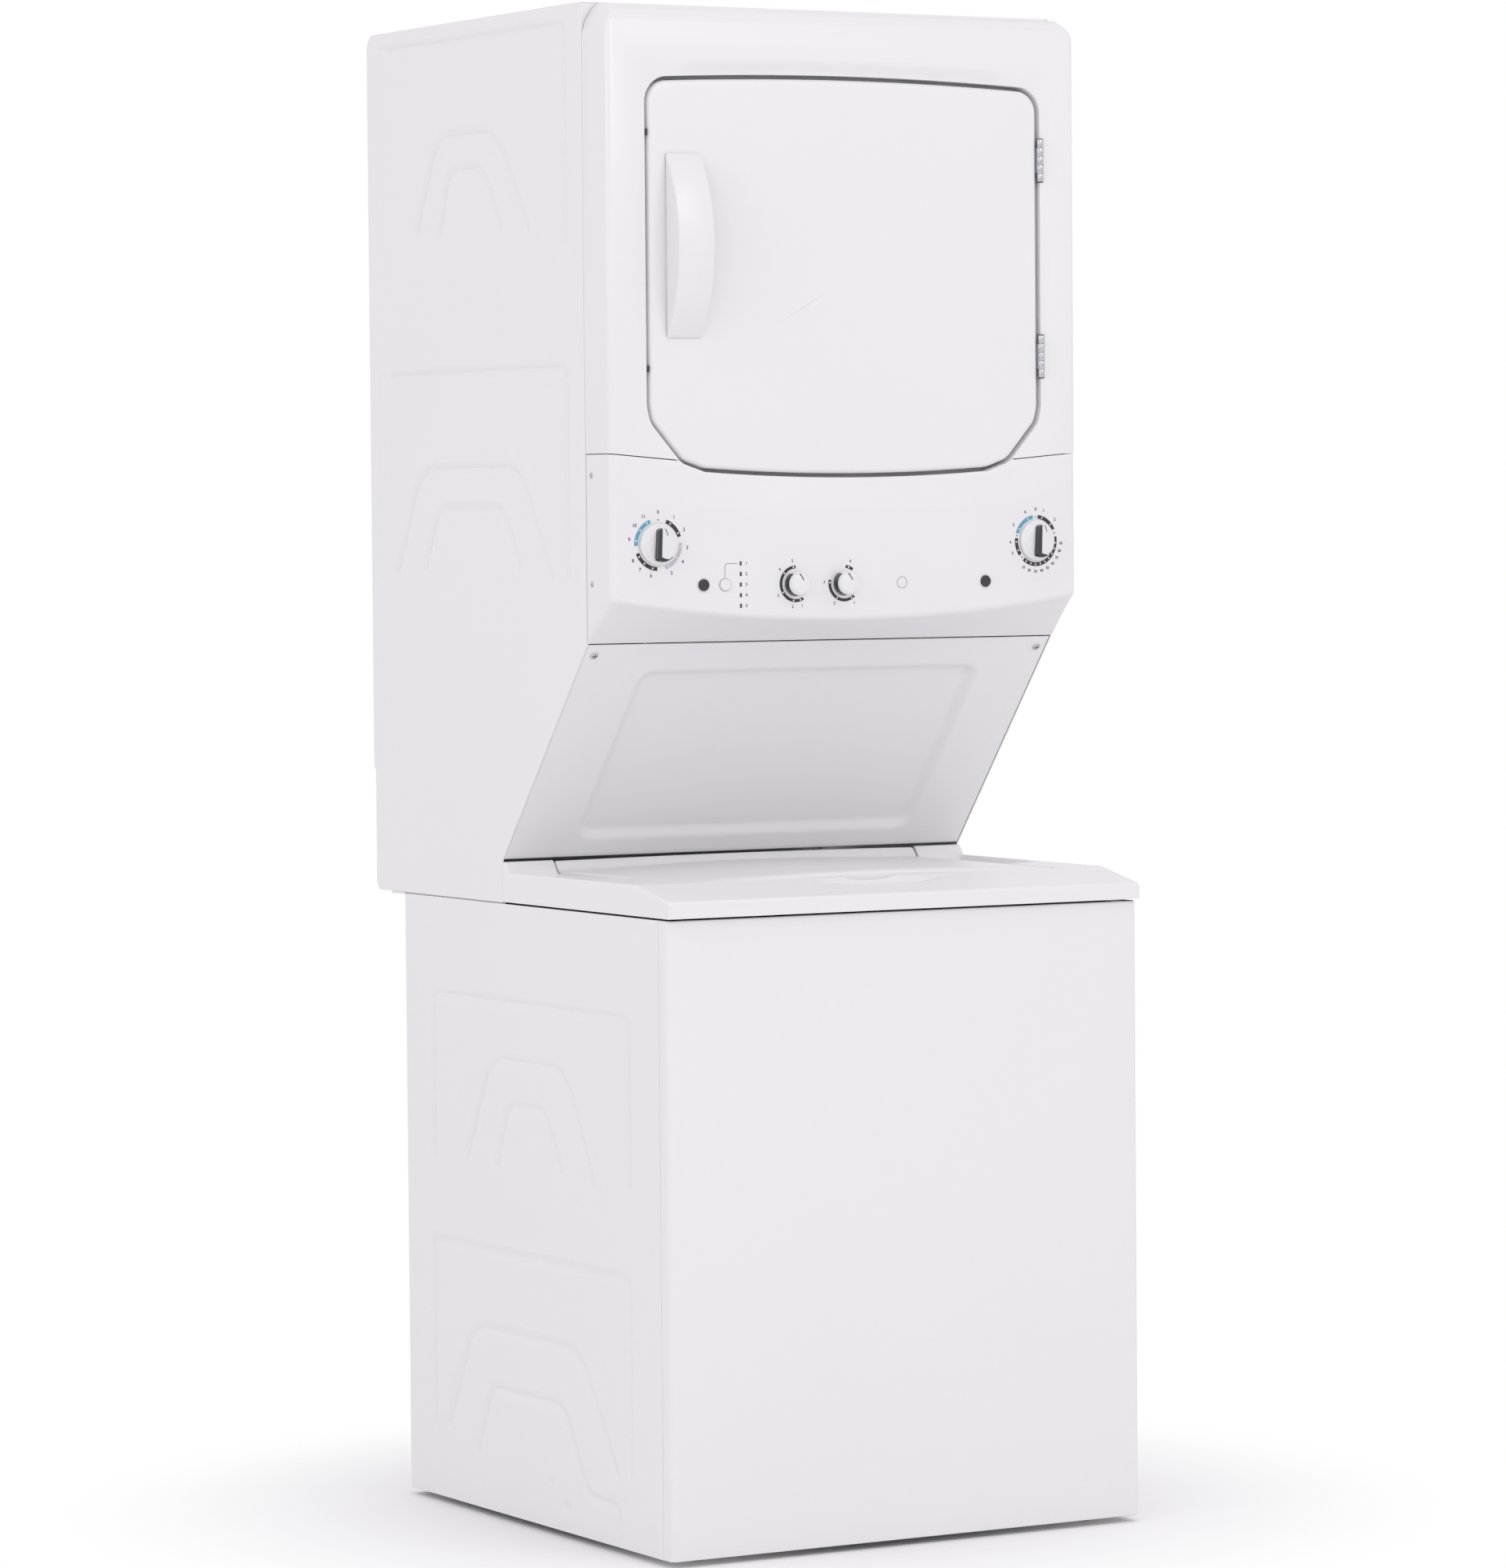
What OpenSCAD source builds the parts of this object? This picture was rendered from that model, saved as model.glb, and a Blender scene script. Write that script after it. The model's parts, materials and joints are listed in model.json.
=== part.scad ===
// Washer dryer stack: a top-loading washer with a front-loading dryer above it.
// Millimetres. x = 0 is the middle, +z is up and the front faces -y. Inside the
// modules y = 0 is the washer's front face and z = 0 its bottom edge; place() sets
// the origin at the middle of the footprint, at the bottom of the feet.

/* [Overall] */
// Width over the side panels
body_w = 683; // [640:1:760]
// Height of the washer cabinet up to the joint under its top cover
washer_h = 787; // [760:1:830]
// Depth of the washer cabinet
washer_d = 712; // [690:1:760]
// Depth from the washer's front face to the dryer's back
stack_d = 800; // [790:1:860]
// Height from the cabinet's bottom edge to the dryer's top
stack_h = 1916; // [1890:1:1990]
// Gap under the cabinet, set by the levelling feet
foot_gap = 8; // [6:1:14]

/* [Sheet metal] */
// Thickness of the painted steel
sheet = 1.5; // [1:0.1:2]
// Width of the joints between panels
seam = 1.2; // [0.8:0.1:2]
// Depth of the front panel's wrap round the corners
wrap_d = 20; // [14:1:30]
// Corner radius of the washer's front panel
corner_r = 8; // [5:1:12]
// How far the top cover's lip stands in front of the cabinet
lip = 6; // [3:1:10]

/* [Top cover and lid] */
// Height of the cover's front lip
lip_h = 21; // [16:1:30]
// Depth of the cover's sloping front
slope_d = 85; // [60:1:110]
// Height of the cover's deck over the joint
deck_h = 39; // [34:1:48]
// Where the dryer's lower front stands, behind the washer's front
lower_y = 433; // [420:1:450]
// Strip of deck on each side of the lid
lid_margin = 84.5; // [75:0.5:100]
// Rise of the crown in the middle of the lid
lid_crown = 7; // [3:1:12]
// Gap round the lid
lid_gap = 1.5; // [1:0.1:3]
// Depth of the troughs beside the lid
trough_d = 12; // [6:1:16]

/* [Dryer front] */
// Setback of the dryer's front face
bezel_y = 135; // [125:1:150]
// Setback of the joint between front and side panels
side_y = 198; // [185:1:215]
// Console's bottom edge below the top
console_drop = 796; // [780:1:810]
// Joint between console and front panel below the top, at the corners
seam_drop = 559; // [550:1:570]
// Depth of the bow in the console's face
bow_d = 12; // [4:1:16]
// Rows of the cycle knobs below the top
knob_drop = 672; // [665:1:680]
// Rows of the buttons and selector knobs below the top
button_drop = 723; // [718:1:728]

/* [Door] */
// Width of the strip beside the door
door_margin = 58.5; // [52:0.5:70]
// Door's top edge below the top
door_drop = 92; // [86:1:110]
// Height of the door
door_h = 493; // [480:1:500]
// Thickness of the door
door_t = 30; // [24:1:36]
// Gap round the door
door_gap = 5; // [4:0.5:7]
// Room between the door throat and the door's top and bottom edges
throat_margin = 51.5; // [45:0.5:70]
// Length of the handle
handle_l = 230; // [180:1:260]
// Width of the handle
handle_w = 50; // [40:1:60]
// How far the handle stands off the door
handle_d = 35; // [28:1:45]
// Length of each hinge
hinge_l = 54; // [45:1:70]
// Radius of the hinge knuckles
knuckle_r = 4; // [3.5:0.1:5]
// Radius of the hinge pins
pin_r = 1.5; // [1.2:0.1:2]

/* [Dryer inside] */
// Room between the drum and each side panel
drum_margin = 46.5; // [40:0.5:60]
// Room between the drum and the top
drum_top_gap = 26; // [20:1:40]
// Room between the drum and the blower's axis
blower_gap = 102; // [95:1:110]
// Radius of the drum's shaft
drum_shaft_r = 10; // [8:0.5:13]
// Outer radius of the exhaust duct
duct_r = 50.8; // [45:0.1:51]
// Radius of the dryer motor
dryer_motor_r = 62; // [50:1:68]
// Radius of the blower wheel
wheel_r = 72; // [60:1:74]
// Radius of the motor shaft
motor_shaft_r = 6; // [5:0.5:8]

/* [Washer inside] */
// Room between the outer tub and each side panel
tub_margin = 56.5; // [50:0.5:70]
// Middle of the tub behind the front
tub_y = 315; // [310:1:330]
// Height of the tub's floor
tub_z = 205; // [195:1:230]
// Height of the tub
tub_h = 495; // [470:1:510]
// Room between tub and basket
basket_gap = 30; // [24:1:40]
// Radius of the drive shaft
drive_shaft_r = 12.7; // [10:0.1:15]
// Radius of the tub pulley's groove
tub_pulley_r = 120; // [90:1:125]
// Radius of the washer motor pulley's groove
motor_pulley_r = 22; // [18:1:30]
// Radius of the washer motor
washer_motor_r = 60; // [50:1:65]
// Radius of the suspension rods
rod_r = 4; // [3:0.5:5]
// Radius of the inlet ports, 3/4 in garden hose thread
port_r = 13.2; // [12:0.1:14]

/* [Controls] */
// Radius of the cycle knobs
cycle_r = 26; // [22:1:28]
// Height of the cycle knobs
cycle_h = 20; // [14:1:26]
// Radius of the selector knobs
selector_r = 15.5; // [12:0.5:17]
// Height of the selector knobs
selector_h = 17; // [12:1:22]
// Radius of the push buttons
button_r = 7.5; // [6:0.5:9]
// Travel of the push buttons
button_travel = 2.5; // [1.5:0.5:3]
// Radius of the knob stems
stem_r = 3; // [2.5:0.1:4]

/* [Hidden] */
$fn = 64;

// Clearances: a running fit, a gap between parts that move past each other, and
// the gap under a belt
run_fit = 0.06;
gap = 0.3;
belt_gap = 0.6;

// Feet under the cabinet's corners
foot_x = body_w / 2 - sheet - 58;
foot_ys = [60, washer_d - 60];
foot_r = 20;
bolt_r = 5;

half_w = body_w / 2;
in_w = half_w - sheet;
front_y = lip - (stack_d + lip) / 2;
cab_top = washer_h - 1;

// Top cover and lid
flange_z = cab_top - 1.5;
skirt_z = washer_h + 1.5;
lip_z = washer_h + lip_h + 1;
deck_z = washer_h + deck_h + 0.5;
cover_t = 2.5;
cover_back = lower_y - seam;
rise_h = 13;
rise_d = 14;
lid_half = half_w - lid_margin;
lid_front = slope_d - lip;
lid_back = lower_y - 3;
lid_ledge_z = deck_z - 18.5;
lid_pivot = [lower_y - 15, deck_z - 16.5];
lid_pin_r = 4;
mouth_half = lid_half - 40;
mouth_front = lid_front + 24;
mouth_back = lower_y - 28;

// Dryer heights
console_z = stack_h - console_drop;
seam_z = stack_h - seam_drop;
door_z1 = stack_h - door_drop;
door_z0 = door_z1 - door_h;
door_zc = (door_z0 + door_z1) / 2;
door_half = half_w - door_margin;
door_y = bezel_y - 2;
door_back = door_y + door_t;
ledge_y = door_back + 3;
ledge_t = 2;
wall = 2;
hinge_x = door_half + door_gap;
hinge_y = door_y + 1;
hinge_zs = [door_zc - 98, door_zc + 152];
throat_z = door_zc + 3;
throat_r = door_h / 2 - throat_margin;

// Door: rise of its crowned top, radius of its corners, cut of its lower corners
door_crown = 8;
door_corner = 28;
door_cut = [46, 66];
knuckle_l = hinge_l / 5;

// Handle: a bow over the door's left part
handle_r = (pow(handle_l / 2, 2) + handle_d * handle_d) / (2 * handle_d);
handle_x = -door_half + 23;
handle_z = door_zc + 36;

// Drum: it fills the room between the side panels, or between the top and the blower
axis_z = console_z + 78;
drum_room = stack_h - drum_top_gap - axis_z - blower_gap;
drum_r = min(half_w - drum_margin, drum_room / 2);
drum_z = stack_h - drum_top_gap - drum_r;
bulkhead_y = side_y + 7;
drum_y0 = bulkhead_y + 11;
back_y = stack_d - 8;
rear_bulkhead_y = back_y - 24;
drum_y1 = rear_bulkhead_y - 10;
drum_mouth_r = throat_r + 19;
glide_h = 6;
spoke_as = [30, 150, 270];

// Lint filter: half its width, its place and its thickness
lint_half = 100;
lint_y = side_y - 2;
lint_t = 8.7;

// Blower, motor and dryer belt
axis_x = -60;
housing_y = side_y + 64;
housing_d = 60;
housing_r = wheel_r + 12;
shelf_z = axis_z - 198;
duct_x = 115;
duct_z = axis_z - 78;
motor_y0 = housing_y + housing_d + 25;
motor_l = 120;
belt_y = motor_y0 + motor_l + 32;
belt_w = 8;
belt_t = 4;
cord_x = in_w - 110;
cord_z = axis_z + 62;
cord_r = 14;
spindle_r = 13;
idler_r = 25;
idler_pin_r = 4;

// Where the outside of the belt runs straight from the spindle to the drum, and
// the idler that bears on it
run_r0 = spindle_r + belt_gap + belt_t;
run_r1 = drum_r + belt_gap + belt_t;
run_dx = -axis_x;
run_dz = drum_z - axis_z;
run_l = sqrt(run_dx * run_dx + run_dz * run_dz);
run_a = atan2(run_dz, run_dx) - acos((run_r0 - run_r1) / run_l);
run_n = [cos(run_a), sin(run_a)];
run_p0 = [axis_x, axis_z] + run_r0 * run_n;
run_p1 = [0, drum_z] + run_r1 * run_n;
idler_c = run_p0 + 0.3 * (run_p1 - run_p0) + (idler_r + belt_gap) * run_n;
idler_pivot = [axis_x + 50, axis_z - 78];
idler_pivot_r = 5;

// Washer drive
tub_r = min(half_w - tub_margin, tub_y - 30);
tub_top = tub_z + tub_h;
tub_wall = 4;
tub_floor = 6;
tub_ring = 12;
neck_r = 30;
basket_r = tub_r - basket_gap;
basket_z0 = tub_z + 20;
basket_z1 = tub_top - 60;
susp_x = in_w - 45;
susp_dy = tub_y - 55;
gusset_z = washer_h - 47;
spring_h = 62;
case_r = 60;
drive_z = tub_z - 120;
drive_l = 185;
washer_motor_y = tub_y - drive_l;
pump_x = 130;
pump_y = tub_y + 120;
valve_x = -190;
valve_z = washer_h - 90;
valve_half = [50, 18];
port_dx = 28;
drain_x = 200;
drain_z = washer_h - 60;
drain_r = 14;
hose_r = 9;
hose_y = washer_d - 42;

// Opening in the cabinet's back for the drive and the pump: half its width, its heights
service_half = 150;
service_zs = [60, 220];

// Console face: it bows forward between its ends and falls back above the crease
bow_r = (half_w * half_w + bow_d * bow_d) / (2 * bow_d);
crease_drop = 629;
console_low = 51;
console_dip = 26;
function bow(x) = bow_d - (bow_r - sqrt(bow_r * bow_r - x * x));
function low_z(x) = console_z + console_low - console_dip * (1 - pow(x / half_w, 2));
function face_y(x) = bezel_y - bow(x);
function crease_z(x) = stack_h - crease_drop + 12 * pow(x / half_w, 2);

cycle_x = 276;
selector_x = [-84, -14];
washer_start_x = -214;
rinse_x = -184;
dryer_start_x = 197;
lens_x = -162;
lens_pitch = 13.2;
knob_z = stack_h - knob_drop;
button_z = stack_h - button_drop;
knob_gap = 1.2;
console_t = 2.5;
console_corner = 10;
console_screws = [stack_h - 586, stack_h - 721];
console_screw_r = 4;

// Access panel: it slopes from the console's bottom to the dryer's lower front
panel_top = [side_y, console_z];
panel_low = [lower_y, washer_h + 54];
panel_v = panel_low - panel_top;
panel_l = norm(panel_v);
panel_a = atan2(-panel_v[1], panel_v[0]);
panel_recess = 8;
panel_half = in_w - 1;
recess_top = 44;
recess_low = 30;
recess_in = 84;
screw_u = 18;
panel_screw_r = 5;

module place() translate([0, front_y, foot_gap]) children();

// Both sides of the middle
module both() {
    children();
    mirror([1, 0, 0]) children();
}

// An outline drawn in y and z, extruded along x from x0
module along_x(x0, l) translate([x0, 0, 0]) rotate([90, 0, 90]) linear_extrude(l) children();

// An outline drawn in x and z, extruded along y from y0
module along_y(y0, l) translate([0, y0 + l, 0]) rotate([90, 0, 0]) linear_extrude(l) children();

// A round bar along y
module rod_y(x, y0, z, r, l) translate([x, y0, z]) rotate([-90, 0, 0]) cylinder(r = r, h = l);

// A round bar along x
module rod_x(x0, y, z, r, l) translate([x0, y, z]) rotate([0, 90, 0]) cylinder(r = r, h = l);

// A box from its lowest to its highest corner
module span(a, b) translate(a) cube(b - a);

// A rectangle with round front corners, its front edge on y = 0
module round_front(w, d, r) {
    translate([-w / 2, r]) square([w, d - r]);
    translate([-w / 2 + r, 0]) square([w - 2 * r, d]);
    for (s = [-1, 1]) translate([s * (w / 2 - r), r]) circle(r);
}

// Points of an arc through three points: its ends at -x and +x, its middle at z
function crown(x, z_end, z_mid, n) =
    [for (i = [0:n]) let (u = -1 + 2 * i / n) [u * x, z_mid + (z_end - z_mid) * u * u]];

// Outline of the door, seen from the front
module door_2d(grow = 0) offset(r = grow) offset(r = door_corner) offset(delta = -door_corner)
    polygon(concat(
        crown(door_half, door_z1 - door_crown, door_z1, 16),
        [[door_half, door_z0 + 85], [door_half - 4, door_z0 + door_cut[1]],
            [door_half - door_cut[0], door_z0 + 18]],
        [for (i = [0:12]) let (u = 1 - 2 * i / 12, x = u * (door_half - 76))
            [x, door_z0 + 7.5 * u * u]],
        [[-door_half + door_cut[0], door_z0 + 18],
            [-door_half + 4, door_z0 + door_cut[1]], [-door_half, door_z0 + 85]]
    ));

// ---- Washer casing ----

module gusset(y) span([susp_x - 22, y - 22, gusset_z], [in_w, y + 22, gusset_z + 3]);

// The inlet valve's outline, inset by t
module valve_block(t, y0, y1) span([valve_x - valve_half[0] + t, y0, valve_z - valve_half[1] + t],
    [valve_x + valve_half[0] - t, y1, valve_z + valve_half[1] - t]);

module washer_cabinet() place() color("white") difference() {
    union() {
        both() span([in_w, wrap_d + seam, 0], [half_w, washer_d, cab_top]);
        both() span([in_w - sheet, corner_r + 4, 0], [in_w, wrap_d + 25, cab_top]);
        both() span([in_w - 18, corner_r + 4, flange_z - sheet], [in_w, washer_d, flange_z]);
        span([-half_w, washer_d - sheet, 0], [half_w, washer_d, cab_top - 3]);
        span([-in_w, washer_d - 18, flange_z - sheet], [in_w, washer_d, flange_z]);
        for (s = [-1, 1]) both() gusset(tub_y + s * susp_dy);
    }
    for (s = [-1, 1], t = [-1, 1])
        translate([s * susp_x, tub_y + t * susp_dy, gusset_z - 1]) cylinder(r = rod_r + 1, h = 5);
    valve_block(4, washer_d - 5, washer_d + 1);
    rod_y(drain_x, washer_d - 5, drain_z, drain_r + 1, 10);
    span([-service_half, washer_d - 5, service_zs[0]], [service_half, washer_d + 1, service_zs[1]]);
}

module washer_front_panel() place() color("white") union() {
    linear_extrude(cab_top) difference() {
        round_front(body_w, wrap_d, corner_r);
        translate([0, sheet]) round_front(body_w - 2 * sheet, wrap_d, corner_r - sheet);
    }
    for (z = [0, flange_z - sheet]) span([20 - in_w, sheet, z], [in_w - 20, sheet + 12, z + sheet]);
}

module washer_base() place() color("darkgray") difference() {
    span([sheet - in_w, corner_r + 6, 0], [in_w - sheet, washer_d - sheet, 30]);
    span([-in_w - 1, corner_r + 9, -1], [in_w + 1, washer_d - sheet - 3, 27]);
    span([70 - in_w, 75, 20], [in_w - 70, washer_d - 75, 31]);
    for (s = [-1, 1], y = foot_ys)
        translate([s * foot_x, y, 20]) cylinder(r = bolt_r + run_fit, h = 11);
}

module levelling_feet() place() color("dimgray") for (s = [-1, 1], y = foot_ys)
    translate([s * foot_x, y, -foot_gap]) {
        cylinder(r = foot_r, h = 5);
        cylinder(r = bolt_r, h = foot_gap + 40);
        translate([0, 0, foot_gap + 15]) cylinder(r = 1.8 * bolt_r, h = 12, $fn = 6);
    }

// Side outline of the cover, drawn in y and z
module cover_side() polygon([
    [-lip, skirt_z], [-lip, lip_z], [slope_d - lip, deck_z], [lower_y - rise_d - 3, deck_z],
    [lower_y - 4, deck_z + rise_h], [cover_back, deck_z + rise_h], [cover_back, skirt_z]
]);

// Room under the cover's front slope
module slope_room() polygon([
    [-lip + cover_t, skirt_z - 1], [-lip + cover_t, lip_z - cover_t],
    [lid_front - lid_gap - cover_t, deck_z - 2 * cover_t],
    [lid_front - lid_gap - cover_t, skirt_z - 1]
]);

module washer_top_cover() place() color("white") {
    difference() {
        along_x(-half_w, body_w) cover_side();
        along_x(-half_w + cover_t, body_w - 2 * cover_t) slope_room();
        // room under the ledge and under the troughs
        span([-half_w + cover_t, -lip + cover_t, skirt_z - 1],
            [half_w - cover_t, lower_y - rise_d - 14, lid_ledge_z - cover_t]);
        span([-half_w + cover_t, lower_y - rise_d - 15, skirt_z - 1],
            [half_w - cover_t, cover_back - cover_t, lid_ledge_z - 8]);
        both() span([lid_half + lid_gap + cover_t, lid_front + 40, skirt_z],
            [half_w - cover_t, lower_y - rise_d - 14, deck_z - trough_d - cover_t]);
        // lid pocket and the troughs beside it
        span([-lid_half - lid_gap, lid_front - lid_gap, lid_ledge_z],
            [lid_half + lid_gap, lower_y + 30, deck_z + rise_h + 1]);
        both() span([lid_half, lid_front + 50, deck_z - trough_d],
            [half_w - cover_t - 1, lower_y - rise_d - 8, deck_z + 1]);
        // mouth over the basket, and room behind it for the lid when it turns
        span([-mouth_half, mouth_front, skirt_z - 5], [mouth_half, mouth_back, deck_z]);
        span([-lid_half - lid_gap, mouth_back + 6, skirt_z - 1],
            [lid_half + lid_gap, lower_y + 1, lid_ledge_z + 1]);
        both() span([lid_half - 16, mouth_back + 2, skirt_z - 1],
            [lid_half + lid_gap, mouth_back + 7, lid_ledge_z + 1]);
        // finger scoop in the sloping front
        translate([0, lid_front - 18, deck_z + 108]) sphere(r = 116);
        // bearings of the lid's hinge pins
        rod_x(-lid_half - 12, lid_pivot[0], lid_pivot[1], lid_pin_r + run_fit, 2 * lid_half + 24);
    }
    // ribs that stand on the cabinet's flange
    both() span([in_w - 12, 30, flange_z],
        [in_w - 12 + cover_t, lower_y - rise_d - 16, lid_ledge_z - cover_t + 1]);
    // deck under the dryer and the wall in front of it
    span([2 - in_w, cover_back - cover_t, flange_z], [in_w - 2, washer_d + 5, flange_z + 3]);
    span([-half_w, washer_d + 1, flange_z], [half_w, washer_d + 39, flange_z + 3]);
    both() span([lid_half + lid_gap + 1, cover_back - cover_t, flange_z + 1],
        [in_w - 2, cover_back, lid_ledge_z + 4]);
}

// Cross section of the lid's shell across the washer: a crowned top
module lid_crown_2d(t) {
    x = lid_half - t;
    z1 = deck_z - 1 - t;
    polygon(concat([[x, lid_ledge_z + (t > 0 ? -1 : 1)], [x, z1]],
        [for (i = [1:23]) let (u = 1 - i / 12) [u * x, z1 + lid_crown * (1 - u * u)]],
        [[-x, z1], [-x, lid_ledge_z + (t > 0 ? -1 : 1)]]));
}

module washer_lid() place() color("white") difference() {
    union() {
        difference() {
            along_y(lid_front, lower_y - rise_d - 4 - lid_front) lid_crown_2d(0);
            along_y(lid_front + cover_t, lower_y - rise_d - 4 - lid_front - 2 * cover_t)
                lid_crown_2d(cover_t);
        }
        // rise at the back
        along_x(-lid_half, 2 * lid_half) polygon([
            [lower_y - rise_d - 6, deck_z - 1], [lid_back - 3, deck_z + rise_h - 2],
            [lid_back, deck_z + rise_h - 2], [lid_back, deck_z + rise_h - 7],
            [lower_y - rise_d - 2, deck_z - 6], [lower_y - rise_d - 6, deck_z - 6]
        ]);
        // underside
        span([cover_t - lid_half, lid_front + 4, lid_ledge_z + 1],
            [lid_half - cover_t, lower_y - rise_d - 6, lid_ledge_z + 2.5]);
        both() span([lid_half - 14, lid_pivot[0] - 7, lid_pivot[1] - 5],
            [lid_half, lid_pivot[0] + 6, deck_z - 3]);
        both() rod_x(lid_half - 12, lid_pivot[0], lid_pivot[1], lid_pin_r, 23);
    }
    // handhold under the front edge
    span([-70, lid_front - 1, lid_ledge_z], [70, lid_front + 14, lid_ledge_z + 6]);
}

module lid_lock() place() color("black") span(
    [lid_half - 90, mouth_front - 22, lid_ledge_z - cover_t - 18],
    [lid_half - 45, mouth_front - 2, lid_ledge_z - cover_t]
);

// ---- Washer inside ----

module ear(a) rotate(a) span([100, -18, gap], [norm([susp_x, susp_dy]) + 20, 18, tub_floor - gap]);

// The tub's floor with its four ears, its wall and the ring on top of it
module outer_tub() place() color("gainsboro") translate([0, tub_y, tub_z]) {
    difference() {
        union() {
            cylinder(r = tub_r, h = tub_floor, $fn = 96);
            for (s = [-1, 1], t = [-1, 1]) ear(atan2(t * susp_dy, s * susp_x));
        }
        translate([0, 0, -1]) cylinder(r = neck_r + 1, h = tub_floor + 2);
        for (s = [-1, 1], t = [-1, 1])
            translate([s * susp_x, t * susp_dy, -1]) cylinder(r = rod_r + 1, h = tub_floor + 2);
    }
    translate([0, 0, tub_floor + gap]) difference() {
        cylinder(r = tub_r, h = tub_h - tub_ring - tub_floor - 2 * gap, $fn = 96);
        translate([0, 0, -1]) cylinder(r = tub_r - tub_wall, h = tub_h, $fn = 96);
    }
    translate([0, 0, tub_h - tub_ring]) difference() {
        cylinder(r = tub_r + 6, h = tub_ring, $fn = 96);
        translate([0, 0, -1]) cylinder(r = basket_r - 10, h = tub_ring + 2, $fn = 96);
    }
}

module wash_basket() place() color("silver") translate([0, tub_y, 0]) difference() {
    translate([0, 0, basket_z0]) cylinder(r = basket_r, h = basket_z1 - basket_z0, $fn = 96);
    translate([0, 0, basket_z0 + 3]) cylinder(r = basket_r - sheet, h = tub_h, $fn = 96);
    translate([0, 0, basket_z0 - 1]) cylinder(r = drive_shaft_r + run_fit, h = 5);
    for (a = [0:30:330], k = [0:3])
        rotate(a) translate([basket_r - 5, 0, basket_z0 + 80 + 90 * k])
            rotate([0, 90, 0]) cylinder(r = 4, h = 10, $fn = 16);
}

module balance_ring() place() color("whitesmoke") translate([0, tub_y, basket_z1])
    rotate_extrude($fn = 96) polygon([
        [basket_r + 2, 0], [basket_r + 2, 28], [basket_r - 6, 34], [basket_r - 32, 34],
        [basket_r - 38, 26], [basket_r - 34, 8], [basket_r - 20, 0]
    ]);

module agitator() place() color("whitesmoke") translate([0, tub_y, basket_z0 + 3.5]) difference() {
    union() {
        rotate_extrude($fn = 64) polygon([
            [0, 0], [basket_r - 80, 0], [basket_r - 80, 6], [90, 34], [52, 90], [42, 220],
            [38, 370], [30, 385], [0, 385]
        ]);
        for (a = [0:90:270]) rotate(a) translate([0, -5, 6])
            rotate([90, 0, 0]) mirror([0, 0, 1]) linear_extrude(10)
                polygon([[30, 0], [basket_r - 84, 0], [basket_r - 84, 18], [100, 60], [72, 220],
                    [56, 330], [30, 350]]);
    }
    translate([0, 0, -1]) cylinder(r = drive_shaft_r + run_fit, h = 330);
}

module suspension_rods() place() color("gray") for (s = [-1, 1], t = [-1, 1])
    translate([s * susp_x, tub_y + t * susp_dy, 0]) {
        translate([0, 0, tub_z - spring_h - 8]) cylinder(r = rod_r, h = gusset_z + 23 - tub_z + spring_h);
        translate([0, 0, gusset_z + 3]) cylinder(r = 12, h = 9);
        translate([0, 0, tub_z - spring_h - 8]) cylinder(r = 16, h = 8);
        translate([0, 0, tub_z - spring_h]) difference() {
            cylinder(r = 13, h = spring_h);
            for (k = [0:4]) translate([0, 0, 3 + spring_h / 5.3 * k]) difference() {
                cylinder(r = 14, h = 5);
                cylinder(r = 10, h = 5);
            }
        }
    }

module gearcase() place() color("gray") translate([0, tub_y, 0]) difference() {
    union() {
        translate([0, 0, tub_z - 85]) cylinder(r = case_r, h = 85);
        translate([0, 0, tub_z - 8]) cylinder(r = case_r + 30, h = 8);
        translate([0, 0, tub_z - 1]) cylinder(r = neck_r, h = 17);
    }
    translate([0, 0, tub_z - 90]) cylinder(r = drive_shaft_r + run_fit, h = 120);
}

// Pulley with a flat groove between two flanges, on the bore r0
module belt_pulley(r, r0, w) rotate_extrude($fn = 96) polygon([
    [r0, 0], [r + 5, 0], [r + 5, 1.5], [r, 2.5], [r, w - 2.5], [r + 5, w - 1.5], [r + 5, w], [r0, w]
]);

module drive_shaft() place() color("silver") translate([0, tub_y, 0]) union() {
    translate([0, 0, drive_z - 8]) cylinder(r = drive_shaft_r, h = basket_z0 + 300 - drive_z);
    translate([0, 0, drive_z]) belt_pulley(tub_pulley_r, drive_shaft_r - 1, 15);
}

module washer_motor() place() color("slategray") translate([0, washer_motor_y, 0]) difference() {
    union() {
        translate([0, 0, drive_z + 25]) cylinder(r = washer_motor_r, h = tub_z - drive_z - 35);
        span([-30, -washer_motor_r + 12, tub_z - 11], [30, washer_motor_r + 10, tub_z]);
    }
    translate([0, 0, drive_z + 20]) cylinder(r = motor_shaft_r + run_fit, h = 45);
}

module motor_pulley() place() color("silver") translate([0, washer_motor_y, 0]) union() {
    translate([0, 0, drive_z - 3]) cylinder(r = motor_shaft_r, h = 66);
    translate([0, 0, drive_z]) belt_pulley(motor_pulley_r, motor_shaft_r - 1, 15);
}

// A belt round two pulleys: t is its gap to them
module loop_2d(c0, r0, c1, r1, t) hull() {
    translate(c0) circle(r = r0 + t, $fn = 96);
    translate(c1) circle(r = r1 + t, $fn = 160);
}

module washer_belt() place() color("black") translate([0, 0, drive_z + 3.5]) linear_extrude(8)
    difference() {
        loop_2d([0, washer_motor_y], motor_pulley_r, [0, tub_y], tub_pulley_r, belt_gap + 3.5);
        loop_2d([0, washer_motor_y], motor_pulley_r, [0, tub_y], tub_pulley_r, belt_gap);
    }

module drain_pump() place() color("dimgray") union() {
    translate([pump_x, pump_y, tub_z - 65]) cylinder(r = 38, h = 65);
    rod_y(pump_x, pump_y + 30, tub_z - 40, 11, 40);
}

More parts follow.
